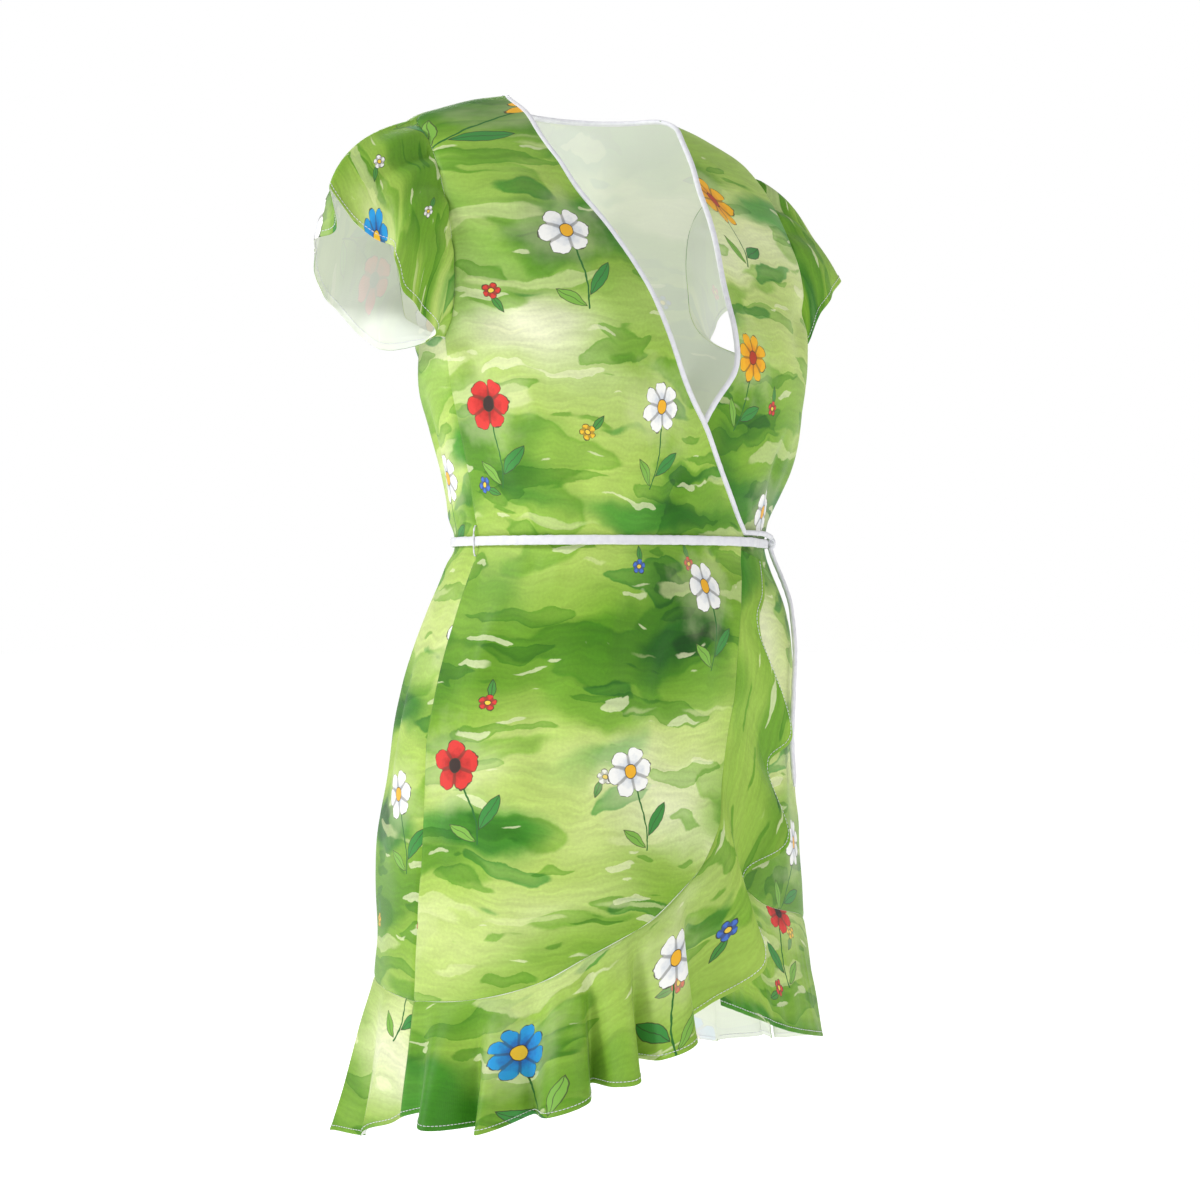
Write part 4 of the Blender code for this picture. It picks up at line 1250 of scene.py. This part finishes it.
# %% Thread loops
# Crocheted from thread and sewn to the side seam above and below the tie, which it holds up.
LOOP_REACH = 13.0 * MM     # above the middle of the waist, and below it
LOOP_HALF, LOOP_HALF_THICK = 0.8 * MM, 0.55 * MM
THREAD_STEPS = 40
TWIST = 40.0               # degrees by which the thread turns to and fro
near_cloth = CLOTH_OUT + 0.4 * MM
thread_loops = {}
for name, angle in (("belt_loop_right", -90.0), ("belt_loop_left", 90.0)):
    far = tie_out(angle) + TIE_HALF_THICK + 0.8 * MM
    line, twist = [], []
    for i, turn in enumerate(spaced(0.0, math.pi, THREAD_STEPS)):
        point = band_point(angle, near_cloth + (far - near_cloth) * max(math.sin(turn), 0) ** 0.5)
        line.append(point + Vector((0, 0, LOOP_REACH * math.cos(turn))))
        twist.append(figure_normal(angle + TWIST * math.sin(i * 0.9), WAIST_DROP))
    thread_loops[name] = sweep(name + "_thread", line, twist,
                               soft_section(LOOP_HALF, LOOP_HALF_THICK, 0.25, line),
                               sides=10)

# %% [markdown]
# ## Colours and nodes
#
# Colours are written as sRGB hex values, the way that a dyer's card gives them, and turned to
# the linear values that Blender's nodes work in. One function adds any node, sets it up and
# links it, so that a pattern reads as a list of steps.

# %% Helpers for materials
def linear(hex_colour):
    """Turn an sRGB hex colour to linear RGBA."""
    channels = []
    for i in (1, 3, 5):
        c = int(hex_colour[i:i + 2], 16) / 255
        channels.append(c / 12.92 if c <= 0.04045 else ((c + 0.055) / 1.055) ** 2.4)
    return (*channels, 1.0)


def add(tree, kind, *values, out=0, sockets=None, stops=(), **settings):
    """Add a node and return one of its outputs.

    values fill its inputs in order, sockets fills them by name, settings set what else it has,
    and stops are the (place, hex colour) pairs of a colour ramp.
    """
    node = tree.nodes.new("ShaderNode" + kind)
    for key, value in settings.items():
        setattr(node, key, value)
    for key, value in [*enumerate(values), *(sockets or {}).items()]:
        if isinstance(value, bpy.types.NodeSocket):
            tree.links.new(value, node.inputs[key])
        else:
            node.inputs[key].default_value = value
    for i, (place, colour) in enumerate(stops):
        elements = node.color_ramp.elements
        element = elements[i] if i < 2 else elements.new(place)
        element.position, element.color = place, linear(colour)
    return node.outputs[out]


def paint(tree, ground, mask, colour, blend="MIX"):
    """Lay a colour on the ground where the mask is 1. MULTIPLY lets the ground show through."""
    return add(tree, "Mix", sockets={0: mask, 6: ground, 7: colour}, out=2,
               data_type="RGBA", blend_type=blend)


# %% [markdown]
# ## The print
#
# The outside is printed with a watercolour: loose washes of green, from cream through lime to
# emerald, with brush strokes, hard dried edges and grains of pigment. Over them lie ink-lined
# wild flowers, white, red, blue and gold, on thin stems. This is a plain meadow pattern made
# for this model. A painted image would be the usual way, but a node pattern needs no file and
# stays sharp. Its coordinates are metres on the flat cloth, so each motif has its real size.

# %% Washes
# Each glaze is a thin coat of colour that lets the ones below it show, as watercolour does.
GLAZES = (
    # across  up  starts  soft   tint      strength  rim
    (2.6, 4.8, 0.42, 0.200, "#abd05a", 0.85, 0.00),
    (5.0, 9.0, 0.48, 0.120, "#9dca5c", 0.80, 0.05),
    (7.0, 17.0, 0.55, 0.030, "#b4d984", 0.60, 0.45),
    (4.0, 10.0, 0.55, 0.090, "#64b86c", 0.90, 0.10),
    (11.0, 36.0, 0.585, 0.016, "#9dcc70", 0.60, 0.40),
    (8.0, 22.0, 0.63, 0.020, "#6ab984", 0.65, 0.35),
)
# Dabs are where colour was lifted off again with a damp brush.
DABS = (
    # across  up  starts  soft   tint      strength
    (6.0, 30.0, 0.635, 0.020, "#dfe9a6", 0.45),
    (15.0, 60.0, 0.665, 0.014, "#eef2c4", 0.55),
)
GROUND = ((0.05, "#86b03a"), (0.28, "#9cc24a"), (0.46, "#b1ce60"), (0.62, "#cadc86"),
          (0.78, "#e2ebb4"), (0.93, "#f3f3d4"))
BAND_PERIOD = 0.37         # metres from one light band to the next
RIM_WIDTH = 0.035          # of the darker rim that a glaze dries with


def warped(tree, place, scale, reach):
    """Move a place about by noise, so that what is drawn there has ragged edges."""
    noise_here = add(tree, "TexNoise", place, out=1,
                     sockets={"Scale": scale, "Detail": 3.0, "Roughness": 0.6})
    push = add(tree, "VectorMath", noise_here, (0.5, 0.5, 0.5), operation="SUBTRACT")
    push = add(tree, "VectorMath", push, (reach, reach, 0.0), operation="MULTIPLY")
    return add(tree, "VectorMath", place, push, operation="ADD")


def stretched_noise(tree, place, across, up, layer, detail=1.6):
    """Noise in strokes: across and up say how many there are in a metre each way."""
    spot = add(tree, "VectorMath", place, (across, up, 0.0), (0.0, 0.0, layer),
               operation="MULTIPLY_ADD")
    return add(tree, "TexNoise", spot,
               sockets={"Scale": 1.0, "Detail": detail, "Roughness": 0.5})


def broad_tone(tree, bent):
    """Light and dark in slanting bands, as a wet wash runs, with lumps in them."""
    across, up, _ = add(tree, "SeparateXYZ", bent).node.outputs
    slant = add(tree, "Math", across, 0.30, up, operation="MULTIPLY_ADD")
    wave = add(tree, "Math", slant, 2 * math.pi / BAND_PERIOD, operation="MULTIPLY")
    wave = add(tree, "Math", wave, operation="SINE")
    lumps = stretched_noise(tree, bent, 3.6, 5.5, 1.0, 2.5)
    tone = add(tree, "Math", lumps, 1.5, -0.25, operation="MULTIPLY_ADD")
    return add(tree, "Math", wave, 0.15, tone, operation="MULTIPLY_ADD")


def glaze(tree, ground, bent, light_part, number):
    """Lay one glaze over the ground, thinner where the ground is light."""
    wide, high, start, soft, tint, strength, rim = GLAZES[number]
    coat = stretched_noise(tree, bent, wide, high, 10.0 + 7 * number)
    coat = add(tree, "Math", light_part, -0.10, coat, operation="MULTIPLY_ADD")
    inside = add(tree, "MapRange", coat, start, start + soft, interpolation_type="SMOOTHSTEP")
    pool = add(tree, "MapRange", coat, start + soft + RIM_WIDTH, start + soft * 0.6)
    pool = add(tree, "Math", pool, rim, 1.0, operation="MULTIPLY_ADD")
    amount = add(tree, "Math", inside, pool, operation="MULTIPLY")
    amount = add(tree, "Math", amount, strength, operation="MULTIPLY")
    return paint(tree, ground, amount, linear(tint), "MULTIPLY")


def fine_grain(tree, cloth, bent):
    """A brush leaves fine streaks, and pigment settles in the paper's grain."""
    bristle = stretched_noise(tree, bent, 26.0, 240.0, 150.0, 2.0)
    bristle = add(tree, "MapRange", bristle, 0.3, 0.7, 0.90, 1.09)
    grain = add(tree, "TexNoise", cloth, sockets={"Scale": 380.0, "Detail": 2.0})
    grain = add(tree, "MapRange", grain, 0.3, 0.7, 0.94, 1.05)
    return add(tree, "Math", bristle, grain, operation="MULTIPLY")


def washes(tree, cloth):
    """The green ground: broad tone, glazes with dried rims, lifted dabs, bristles and grain."""
    bent = warped(tree, warped(tree, cloth, 9.0, 0.060), 110.0, 0.0042)
    tone = broad_tone(tree, bent)
    ground = add(tree, "ValToRGB", tone, stops=GROUND)
    light_part = add(tree, "MapRange", tone, 0.62, 0.95)
    for number in range(len(GLAZES)):
        ground = glaze(tree, ground, bent, light_part, number)
    for number, (wide, high, start, soft, tint, strength) in enumerate(DABS):
        dab = stretched_noise(tree, bent, wide, high, 90.0 + 7 * number)
        dab = add(tree, "MapRange", dab, start, start + soft, 0.0, strength,
                  interpolation_type="SMOOTHSTEP")
        ground = paint(tree, ground, dab, linear(tint))
    return paint(tree, ground, 1.0, fine_grain(tree, cloth, bent), "MULTIPLY")


# %% Motif cells
def motif_cell(tree, cloth, width, height, seed, wander, turn):
    """Part the cloth into staggered cells, with one motif in each.

    Gives the place in the cell, turned and moved by chance, and three chance numbers.
    """
    start = add(tree, "VectorMath", cloth, (seed * 0.013, seed * 0.029, 0.0), operation="ADD")
    start = add(tree, "VectorMath", start, (1 / width, 1 / height, 0.0), operation="MULTIPLY")
    u, v, _ = add(tree, "SeparateXYZ", start).node.outputs
    row = add(tree, "Math", v, operation="FLOOR")
    half = add(tree, "Math", row, 2.0, operation="FLOORED_MODULO")
    u = add(tree, "Math", half, 0.5, u, operation="MULTIPLY_ADD")
    column = add(tree, "Math", u, operation="FLOOR")
    number = add(tree, "CombineXYZ", column, row, seed)
    chance = add(tree, "TexWhiteNoise", number, out=1, noise_dimensions="3D")
    chances = add(tree, "SeparateXYZ", chance).node.outputs
    second = add(tree, "VectorMath", number, (0.37, 0.71, 11.3), operation="ADD")
    other = add(tree, "TexWhiteNoise", second, out=1, noise_dimensions="3D")
    x = add(tree, "Math", u, column, operation="SUBTRACT")
    y = add(tree, "Math", v, row, operation="SUBTRACT")
    place = add(tree, "CombineXYZ", x, y, 0.0)
    place = add(tree, "VectorMath", place, (0.5, 0.5, 0.0), operation="SUBTRACT")
    place = add(tree, "VectorMath", place, (width, height, 0.0), operation="MULTIPLY")
    shift = add(tree, "VectorMath", other, (0.5, 0.5, 0.0), operation="SUBTRACT")
    shift = add(tree, "VectorMath", shift, (wander, wander, 0.0), operation="MULTIPLY")
    place = add(tree, "VectorMath", place, shift, operation="ADD")
    angle = add(tree, "Math", chances[2], 0.5, operation="SUBTRACT")
    angle = add(tree, "Math", angle, turn, operation="MULTIPLY")
    place = add(tree, "VectorRotate", place, sockets={"Angle": angle}, rotation_type="Z_AXIS")
    return warped(tree, place, 42.0, 0.0055), chances[0], chances[1], chances[2]


# %% Paint and ink
INK = "#3d3a2c"
INK_HALF = 0.42 * MM       # half the width of a full ink line
THIN_INK = 0.8 * INK_HALF
PAINT_EDGE = 0.18 * MM     # what a painted edge takes to fade out


def below(tree, value, limit, within, soft=PAINT_EDGE):
    """A mask where a value is below a limit, with a soft step, inside the mask within."""
    gap = add(tree, "Math", value, limit, operation="SUBTRACT")
    return add(tree, "MapRange", gap, soft, -soft, 0.0, within, interpolation_type="SMOOTHSTEP")


def line_along(tree, gap, half, within):
    """A mask of a line, half wide to each side of where the gap is zero."""
    return below(tree, add(tree, "Math", gap, operation="ABSOLUTE"), half, within)


# %% Flowers
PETAL_NOTCH, PETAL_ROUND = 0.30, 2.6       # how deep petals part, and how blunt they are
PETAL_RAGGED = 0.13        # of the radius, out and in
VEIN_HALF, VEIN_EDGE, VEIN_STRENGTH = 1.3 * MM, 0.6 * MM, 0.62
LEAF_INK_ENDS = 1.12       # no ink past a leaf's points
STEM_HALF = 0.75 * MM


def petal_fan(tree, place, centre, petals):
    """How far a place is from a flower's centre, and across its petal: 0 to 0.5 at its side."""
    x, y, _ = add(tree, "SeparateXYZ", place).node.outputs
    x = add(tree, "Math", x, centre[0], operation="SUBTRACT")
    y = add(tree, "Math", y, centre[1], operation="SUBTRACT")
    spot = add(tree, "CombineXYZ", x, y, 0.0)
    far = add(tree, "VectorMath", spot, out=1, operation="LENGTH")
    angle = add(tree, "Math", y, x, operation="ARCTAN2")
    turns = add(tree, "Math", angle, 2 * math.pi, operation="DIVIDE")
    turns = add(tree, "Math", turns, petals, operation="MULTIPLY")
    turns = add(tree, "Math", turns, 0.5, operation="ADD")
    across = add(tree, "Math", turns, operation="FRACT")
    across = add(tree, "Math", across, 0.5, operation="SUBTRACT")
    return far, add(tree, "Math", across, operation="ABSOLUTE")


def flower(tree, ground, place, centre, radius, petals, colour, shade, heart, heart_share, shown):
    """Paint an ink-lined flower head of rounded petals over the ground."""
    far, across = petal_fan(tree, place, centre, petals)
    drop = add(tree, "Math", across, 2.0, operation="MULTIPLY")
    drop = add(tree, "Math", drop, PETAL_ROUND, operation="POWER")
    uneven = add(tree, "TexNoise", place, sockets={"Scale": 75.0, "Detail": 2.0})
    ragged = PETAL_RAGGED * radius
    wobble = add(tree, "MapRange", uneven, 0.2, 0.8, -ragged, ragged)
    outline = add(tree, "Math", drop, -PETAL_NOTCH * radius, radius, operation="MULTIPLY_ADD")
    outline = add(tree, "Math", outline, wobble, operation="ADD")
    gap = add(tree, "Math", far, outline, operation="SUBTRACT")
    inside = below(tree, gap, 0.0, shown)
    depth = add(tree, "Math", far, radius, operation="DIVIDE")
    blot = add(tree, "TexNoise", place, sockets={"Scale": 190.0, "Detail": 2.0})
    depth = add(tree, "Math", blot, 0.7, depth, operation="MULTIPLY_ADD")
    tint = add(tree, "MapRange", depth, 0.55, 1.05)
    ground = paint(tree, ground, inside, paint(tree, shade, tint, colour))
    pressure = add(tree, "MapRange", blot, 0.35, 0.6, 0.15 * INK_HALF, 1.25 * INK_HALF)
    line = line_along(tree, gap, pressure, shown)
    side = add(tree, "Math", 0.5, across, operation="SUBTRACT")
    side = add(tree, "Math", side, far, operation="MULTIPLY")
    vein = below(tree, side, VEIN_HALF, inside, VEIN_EDGE)
    vein = add(tree, "Math", vein, VEIN_STRENGTH, operation="MULTIPLY")
    ink = add(tree, "Math", line, vein, operation="MAXIMUM")
    ink = add(tree, "Math", ink, 0.85, operation="MULTIPLY")
    ground = paint(tree, ground, ink, linear(INK))
    heart_gap = add(tree, "Math", far, radius * heart_share, operation="SUBTRACT")
    ground = paint(tree, ground, below(tree, heart_gap, 0.0, shown), heart)
    return paint(tree, ground, line_along(tree, heart_gap, THIN_INK, shown), linear(INK))


def leaf(tree, ground, place, centre, angle, length, width, colour, shown):
    """Paint a pointed leaf with an ink line round it and along its middle."""
    spot = add(tree, "VectorMath", place, (*centre, 0.0), operation="SUBTRACT")
    spot = add(tree, "VectorRotate", spot, sockets={"Angle": angle}, rotation_type="Z_AXIS")
    x, y, _ = add(tree, "SeparateXYZ", spot).node.outputs
    share = add(tree, "Math", x, 2 / length, operation="MULTIPLY")
    share = add(tree, "Math", share, 2.0, operation="POWER")
    half = add(tree, "Math", share, -width / 2, width / 2, operation="MULTIPLY_ADD")
    high = add(tree, "Math", y, operation="ABSOLUTE")
    gap = add(tree, "Math", high, half, operation="SUBTRACT")
    inside = below(tree, gap, 0.0, shown)
    ground = paint(tree, ground, inside, colour)
    vein = below(tree, high, 0.75 * THIN_INK, inside)
    as_far = add(tree, "Math", share, LEAF_INK_ENDS, operation="LESS_THAN")
    as_far = add(tree, "Math", as_far, shown, operation="MULTIPLY")
    line = line_along(tree, gap, THIN_INK, as_far)
    ink = add(tree, "Math", line, vein, operation="MAXIMUM")
    ink = add(tree, "Math", ink, 0.8, operation="MULTIPLY")
    return paint(tree, ground, ink, linear(INK))


def stem(tree, ground, place, low, high, bow, shown):
    """Paint a thin bent stem from low to high in the cell."""
    x, y, _ = add(tree, "SeparateXYZ", place).node.outputs
    middle, half = (low + high) / 2, (high - low) / 2
    rise = add(tree, "Math", y, middle, operation="SUBTRACT")
    share = add(tree, "Math", rise, half, operation="DIVIDE")
    square = add(tree, "Math", share, share, operation="MULTIPLY")
    bent = add(tree, "Math", square, -bow, bow, operation="MULTIPLY_ADD")
    off = add(tree, "Math", x, bent, operation="SUBTRACT")
    as_far = below(tree, square, 1.0, shown, 0.02)
    return paint(tree, ground, line_along(tree, off, STEM_HALF, as_far), linear("#2f6f2c"))


# %% Small and large flowers, and the whole print
BUD_CELLS = (0.062, 0.058, 3.0, 0.016, 6.0)        # width, height, seed, wander and turn
BLOOM_CELLS = (0.150, 0.146, 7.0, 0.030, 1.3)
BUD_SHARE, BLOOM_SHARE = 0.15, 0.62                # of the cells that have a flower
BUD_RADIUS, BLOOM_RADIUS = 6.8 * MM, 21.5 * MM
BLOOM_CENTRE = (0.0, 0.020)
GLOW_EDGE, GLOW_STRENGTH = (0.086, 0.050), 0.24     # metres from the flower's middle


def one_of(tree, chance, *stops):
    """One of the colours by chance: each from its own place up to the next one's."""
    colour = add(tree, "ValToRGB", chance, stops=stops)
    colour.node.color_ramp.interpolation = "CONSTANT"
    return colour


def bloom_colours(tree, chance, *colours):
    """A colour for each kind of large flower: white, red, blue and gold."""
    return one_of(tree, chance, *zip((0.0, 0.46, 0.64, 0.82), colours))


def buds(tree, cloth, colour):
    """Small flowers of one colour each, with a leaf."""
    place, first, second, _ = motif_cell(tree, cloth, *BUD_CELLS)
    shown = add(tree, "Math", first, BUD_SHARE, operation="LESS_THAN")
    bud = one_of(tree, second, (0.0, "#e2433a"), (0.36, "#4d79d4"), (0.66, "#f7c531"),
                 (0.86, "#fbfbf6"))
    colour = leaf(tree, colour, place, (0.004, -0.011), 1.1, 0.017, 0.006,
                  linear("#4c9440"), shown)
    return flower(tree, colour, place, (0.0, 0.0), BUD_RADIUS, 5.0, bud, bud,
                  linear("#f6d34a"), 0.34, shown)


def pale_glow(tree, cloth, place, shown):
    """A mask of the ragged pale wash that is left round a flower."""
    glow_place = add(tree, "VectorMath", place, (*BLOOM_CENTRE, 0.0), operation="SUBTRACT")
    glow = add(tree, "VectorMath", glow_place, out=1, operation="LENGTH")
    ragged = add(tree, "TexNoise", cloth, sockets={"Scale": 38.0, "Detail": 3.0})
    glow = add(tree, "Math", ragged, 0.075, glow, operation="MULTIPLY_ADD")
    strength = add(tree, "Math", shown, GLOW_STRENGTH, operation="MULTIPLY")
    return add(tree, "MapRange", glow, *GLOW_EDGE, 0.0, strength,
               interpolation_type="SMOOTHSTEP")


def blooms(tree, cloth, colour):
    """Large flowers on stems with two leaves, and of five to eight petals."""
    place, first, second, third = motif_cell(tree, cloth, *BLOOM_CELLS)
    shown = add(tree, "Math", first, BLOOM_SHARE, operation="LESS_THAN")
    glow = pale_glow(tree, cloth, place, shown)
    colour = paint(tree, colour, glow, linear("#edf0c0"))
    colour = stem(tree, colour, place, -0.050, 0.012, 0.005, shown)
    colour = leaf(tree, colour, place, (0.017, -0.026), -0.75, 0.034, 0.011,
                  linear("#3f8f3f"), shown)
    colour = leaf(tree, colour, place, (-0.010, -0.036), 0.85, 0.028, 0.009,
                  linear("#7fb648"), shown)
    petals = add(tree, "Math", third, 4.0, 5.0, operation="MULTIPLY_ADD")
    petals = add(tree, "Math", petals, operation="FLOOR")
    head = bloom_colours(tree, second, "#fdfdf9", "#df3b35", "#2b9fe2", "#f8b827")
    shade = bloom_colours(tree, second, "#ccd3dd", "#a8231f", "#2a63b8", "#e5891c")
    heart = bloom_colours(tree, second, "#f5b62a", "#3a2a26", "#f8c733", "#b8402a")
    return flower(tree, colour, place, BLOOM_CENTRE, BLOOM_RADIUS, petals, head, shade, heart,
                  0.27, shown)


def meadow_print():
    """A group whose one output is the print's colour."""
    tree = bpy.data.node_groups.new("meadow_print", "ShaderNodeTree")
    tree.interface.new_socket("Colour", in_out="OUTPUT", socket_type="NodeSocketColor")
    output = tree.nodes.new("NodeGroupOutput")
    cloth = add(tree, "UVMap", uv_map="flat_cloth")
    colour = blooms(tree, cloth, buds(tree, cloth, washes(tree, cloth)))
    tree.links.new(colour, output.inputs[0])
    print("print group:", len(tree.nodes), "nodes")
    return tree


print_group = meadow_print()

# %% [markdown]
# ## Satin
#
# The cloth is polyester satin of about 160 g per square metre, woven from fine filament, so it
# has a soft sheen and no visible hairs. The outer side carries the print. The inner side is
# the pale back of the cloth, with the print showing through faintly. Threads are 0.12 mm
# apart, too fine to show here, so they are drawn 0.9 mm apart and very shallow.

# %% Satin materials
THREAD_SPACING = 0.9 * MM
BAND_SCALE = 0.3           # a wave texture's bands are then about one unit wide
SLUBS = 55.0               # uneven places in the threads, in a metre
SLUB_HEIGHT = 5.0          # against 1 for a thread
BUMP_STRENGTH = 0.35
POLYESTER = {"IOR": 1.46, "Specular IOR Level": 0.34, "Sheen Roughness": 0.45}


def new_material(name, settings):
    """A material and its shader, with the shader's inputs set by name."""
    material = bpy.data.materials.new(name)
    material.use_nodes = True
    shader = material.node_tree.nodes["Principled BSDF"]
    for key, value in settings.items():
        shader.inputs[key].default_value = value
    return material, shader


def satin(name, colour_of, roughness, sheen, weave_depth, from_cloth):
    """A satin: colour_of(tree) gives its colour, and a fine weave and soft slubs its bump."""
    material, shader = new_material(name, {**POLYESTER, "Roughness": roughness,
                                           "Sheen Weight": sheen})
    tree = material.node_tree
    if from_cloth:
        place = add(tree, "UVMap", uv_map="flat_cloth")
    else:
        place = add(tree, "TexCoord", out=3)
    weave_place = add(tree, "VectorMath", place, (1 / THREAD_SPACING,) * 3, operation="MULTIPLY")
    threads = [add(tree, "TexWave", weave_place, out=1, bands_direction=way,
                   sockets={"Scale": BAND_SCALE, "Distortion": 0.6, "Detail": 1.0})
               for way in "XY"]
    weave = add(tree, "Math", *threads, operation="ADD")
    slub = add(tree, "TexNoise", place, sockets={"Scale": SLUBS, "Detail": 3.0})
    height = add(tree, "Math", slub, SLUB_HEIGHT, weave, operation="MULTIPLY_ADD")
    bump = add(tree, "Bump", sockets={"Height": height, "Strength": BUMP_STRENGTH,
                                      "Distance": weave_depth})
    tree.links.new(bump, shader.inputs["Normal"])
    tree.links.new(colour_of(tree, place), shader.inputs["Base Color"])
    return material


def printed(tree, place):
    """The face of the cloth, which is all print."""
    group = tree.nodes.new("ShaderNodeGroup")
    group.node_tree = print_group
    return group.outputs[0]


def show_through(tree, place):
    """The back of the cloth: near white, with a fifth of the print's colour."""
    return paint(tree, printed(tree, place), 0.80, linear("#f6f7f2"))


def plain_white(tree, place):
    """White that is a little greyer in patches, as rolled cloth is where it is pressed."""
    patch = add(tree, "TexNoise", place, sockets={"Scale": 160.0, "Detail": 2.0})
    return add(tree, "ValToRGB", patch, stops=((0.3, "#dfdfe6"), (0.7, "#ececf1")))


printed_satin = satin("printed_satin_face", printed, 0.50, 0.08, 0.10 * MM, True)
satin_back = satin("printed_satin_back", show_through, 0.62, 0.10, 0.08 * MM, True)
white_satin = satin("white_satin_roll", plain_white, 0.44, 0.20, 0.10 * MM, False)
white_thread = satin("white_thread", plain_white, 0.60, 0.25, 0.05 * MM, False)

# %% [markdown]
# ## Putting the pieces on the frame
#
# Each piece takes the place of one solid, rides on the dress's one body and is given its
# finish.

# %% Cloth pieces
panels = (
    # piece, node, flat size, flat area, held
    (front_over, "front_right", (0.46, 0.82), 0.184, "draped"),
    (front_under, "front_left", (0.46, 0.80), 0.182, "draped"),
    (back, "back", (0.62, 0.80), 0.405, "draped"),
    (flounce_over, "flounce_over", (1.15, 0.13), 0.060, "gathered"),
    (flounce_under, "flounce_under", (0.36, 0.13), 0.036, "gathered"),
    (flounce_back, "flounce_back", (0.85, 0.15), 0.090, "gathered"),
    (sleeve_right, "sleeve_right", (0.52, 0.12), 0.036, "gathered"),
    (sleeve_left, "sleeve_left", (0.52, 0.12), 0.036, "gathered"),
)
for piece, node, flat, area, held in panels:
    piece.data.materials.append(printed_satin)
    piece.data.materials.append(satin_back)
    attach(piece, "root")
    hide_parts(node)

# %% White pieces
whites = (
    (neck_binding, "neck_binding"),
    (waist_tie, "waist_tie"),
    (wrap_strap, "wrap_strap"),
    (tie_end, "tie_end"),
    (thread_loops["belt_loop_right"], "belt_loop_right"),
    (thread_loops["belt_loop_left"], "belt_loop_left"),
    *((part, "tie_knot") for part in knot_parts),
)
for piece, node in whites:
    piece.data.materials.append(white_satin)
    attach(piece, "root")
    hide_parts(node)
hem_stitches.data.materials.append(white_thread)
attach(hem_stitches, "root")

# %% Measuring the cloth
def half_surface(piece):
    """Area of one side of a piece of cloth, in square metres."""
    return sum(face.area for face in piece.data.polygons)


for piece, node, flat, area, held in panels:
    print(node, "measured", round(half_surface(piece), 4), "declared", area)

# %% [markdown]
# ## Floor and light
#
# The dress is seen in a bright, even studio, white all round. The strongest light stands on
# the picture's left, a larger and weaker one above on its right, and a third behind the dress.
# The floor is far below, where the wearer's feet would be, and is pale enough to vanish. A sky
# alone would light it as evenly, but its folds and its sheen need lamps to show.

# %% Floor
FLOOR_DROP = 1.36
FLOOR_RADIUS = 40.0
bpy.ops.mesh.primitive_circle_add(vertices=96, radius=FLOOR_RADIUS, fill_type="NGON",
                                  location=(0, 0, -FLOOR_DROP))
floor = bpy.context.object
floor.name = "studio_floor"
floor_paint, _ = new_material("studio_floor_paint", {
    "Base Color": linear("#fbfbfb"), "Roughness": 0.9,
    "Emission Color": linear("#ffffff"), "Emission Strength": 0.60,
})
floor.data.materials.append(floor_paint)

# %% Lights
LIGHTS = (
    # name, angle round the dress, height, distance, size, power
    ("key_light", -106.0, 1.0, 2.4, 0.8, 38.0),
    ("fill_light", 0.0, 1.6, 3.0, 1.2, 20.0),
    ("back_light", 150.0, 1.2, 2.8, 1.8, 26.0),
)
LIT_POINT = Vector((0, 0, -0.45))


def new_light(name, kind, power, place):
    """Put a lamp in the scene and return the object that holds it."""
    lamp = bpy.data.lights.new(name, kind)
    lamp.energy = power
    holder = bpy.data.objects.new(name, lamp)
    scene.collection.objects.link(holder)
    holder.location = place
    return holder


for name, angle, height, distance, size, power in LIGHTS:
    turn = math.radians(angle)
    light = new_light(name, "AREA", power,
                      (distance * math.sin(turn), -distance * math.cos(turn), height))
    light.data.shape, light.data.size = "DISK", size
    light.rotation_euler = (LIT_POINT - light.location).to_track_quat("-Z", "Y").to_euler()

# Thin satin lets light through. A weak lamp in the hollow gives the inside that glow.
glow = new_light("light_through_cloth", "POINT", 0.24, (0.0, -0.02, -0.14))
glow.data.shadow_soft_size = 0.06
glow.visible_camera = False

# %% White room
AMBIENT = 0.46             # what the white room gives the cloth
BACKDROP = 1.0             # what the camera sees of it
world = bpy.data.worlds.new("studio")
world.use_nodes = True
scene.world = world
sky = world.node_tree.nodes["Background"]
sky.inputs["Color"].default_value = (1.0, 1.0, 1.0, 1.0)
seen = add(world.node_tree, "LightPath")
brightness = add(world.node_tree, "MapRange", seen, 0.0, 1.0, AMBIENT, BACKDROP)
world.node_tree.links.new(brightness, sky.inputs["Strength"])
scene.view_settings.view_transform = "Standard"
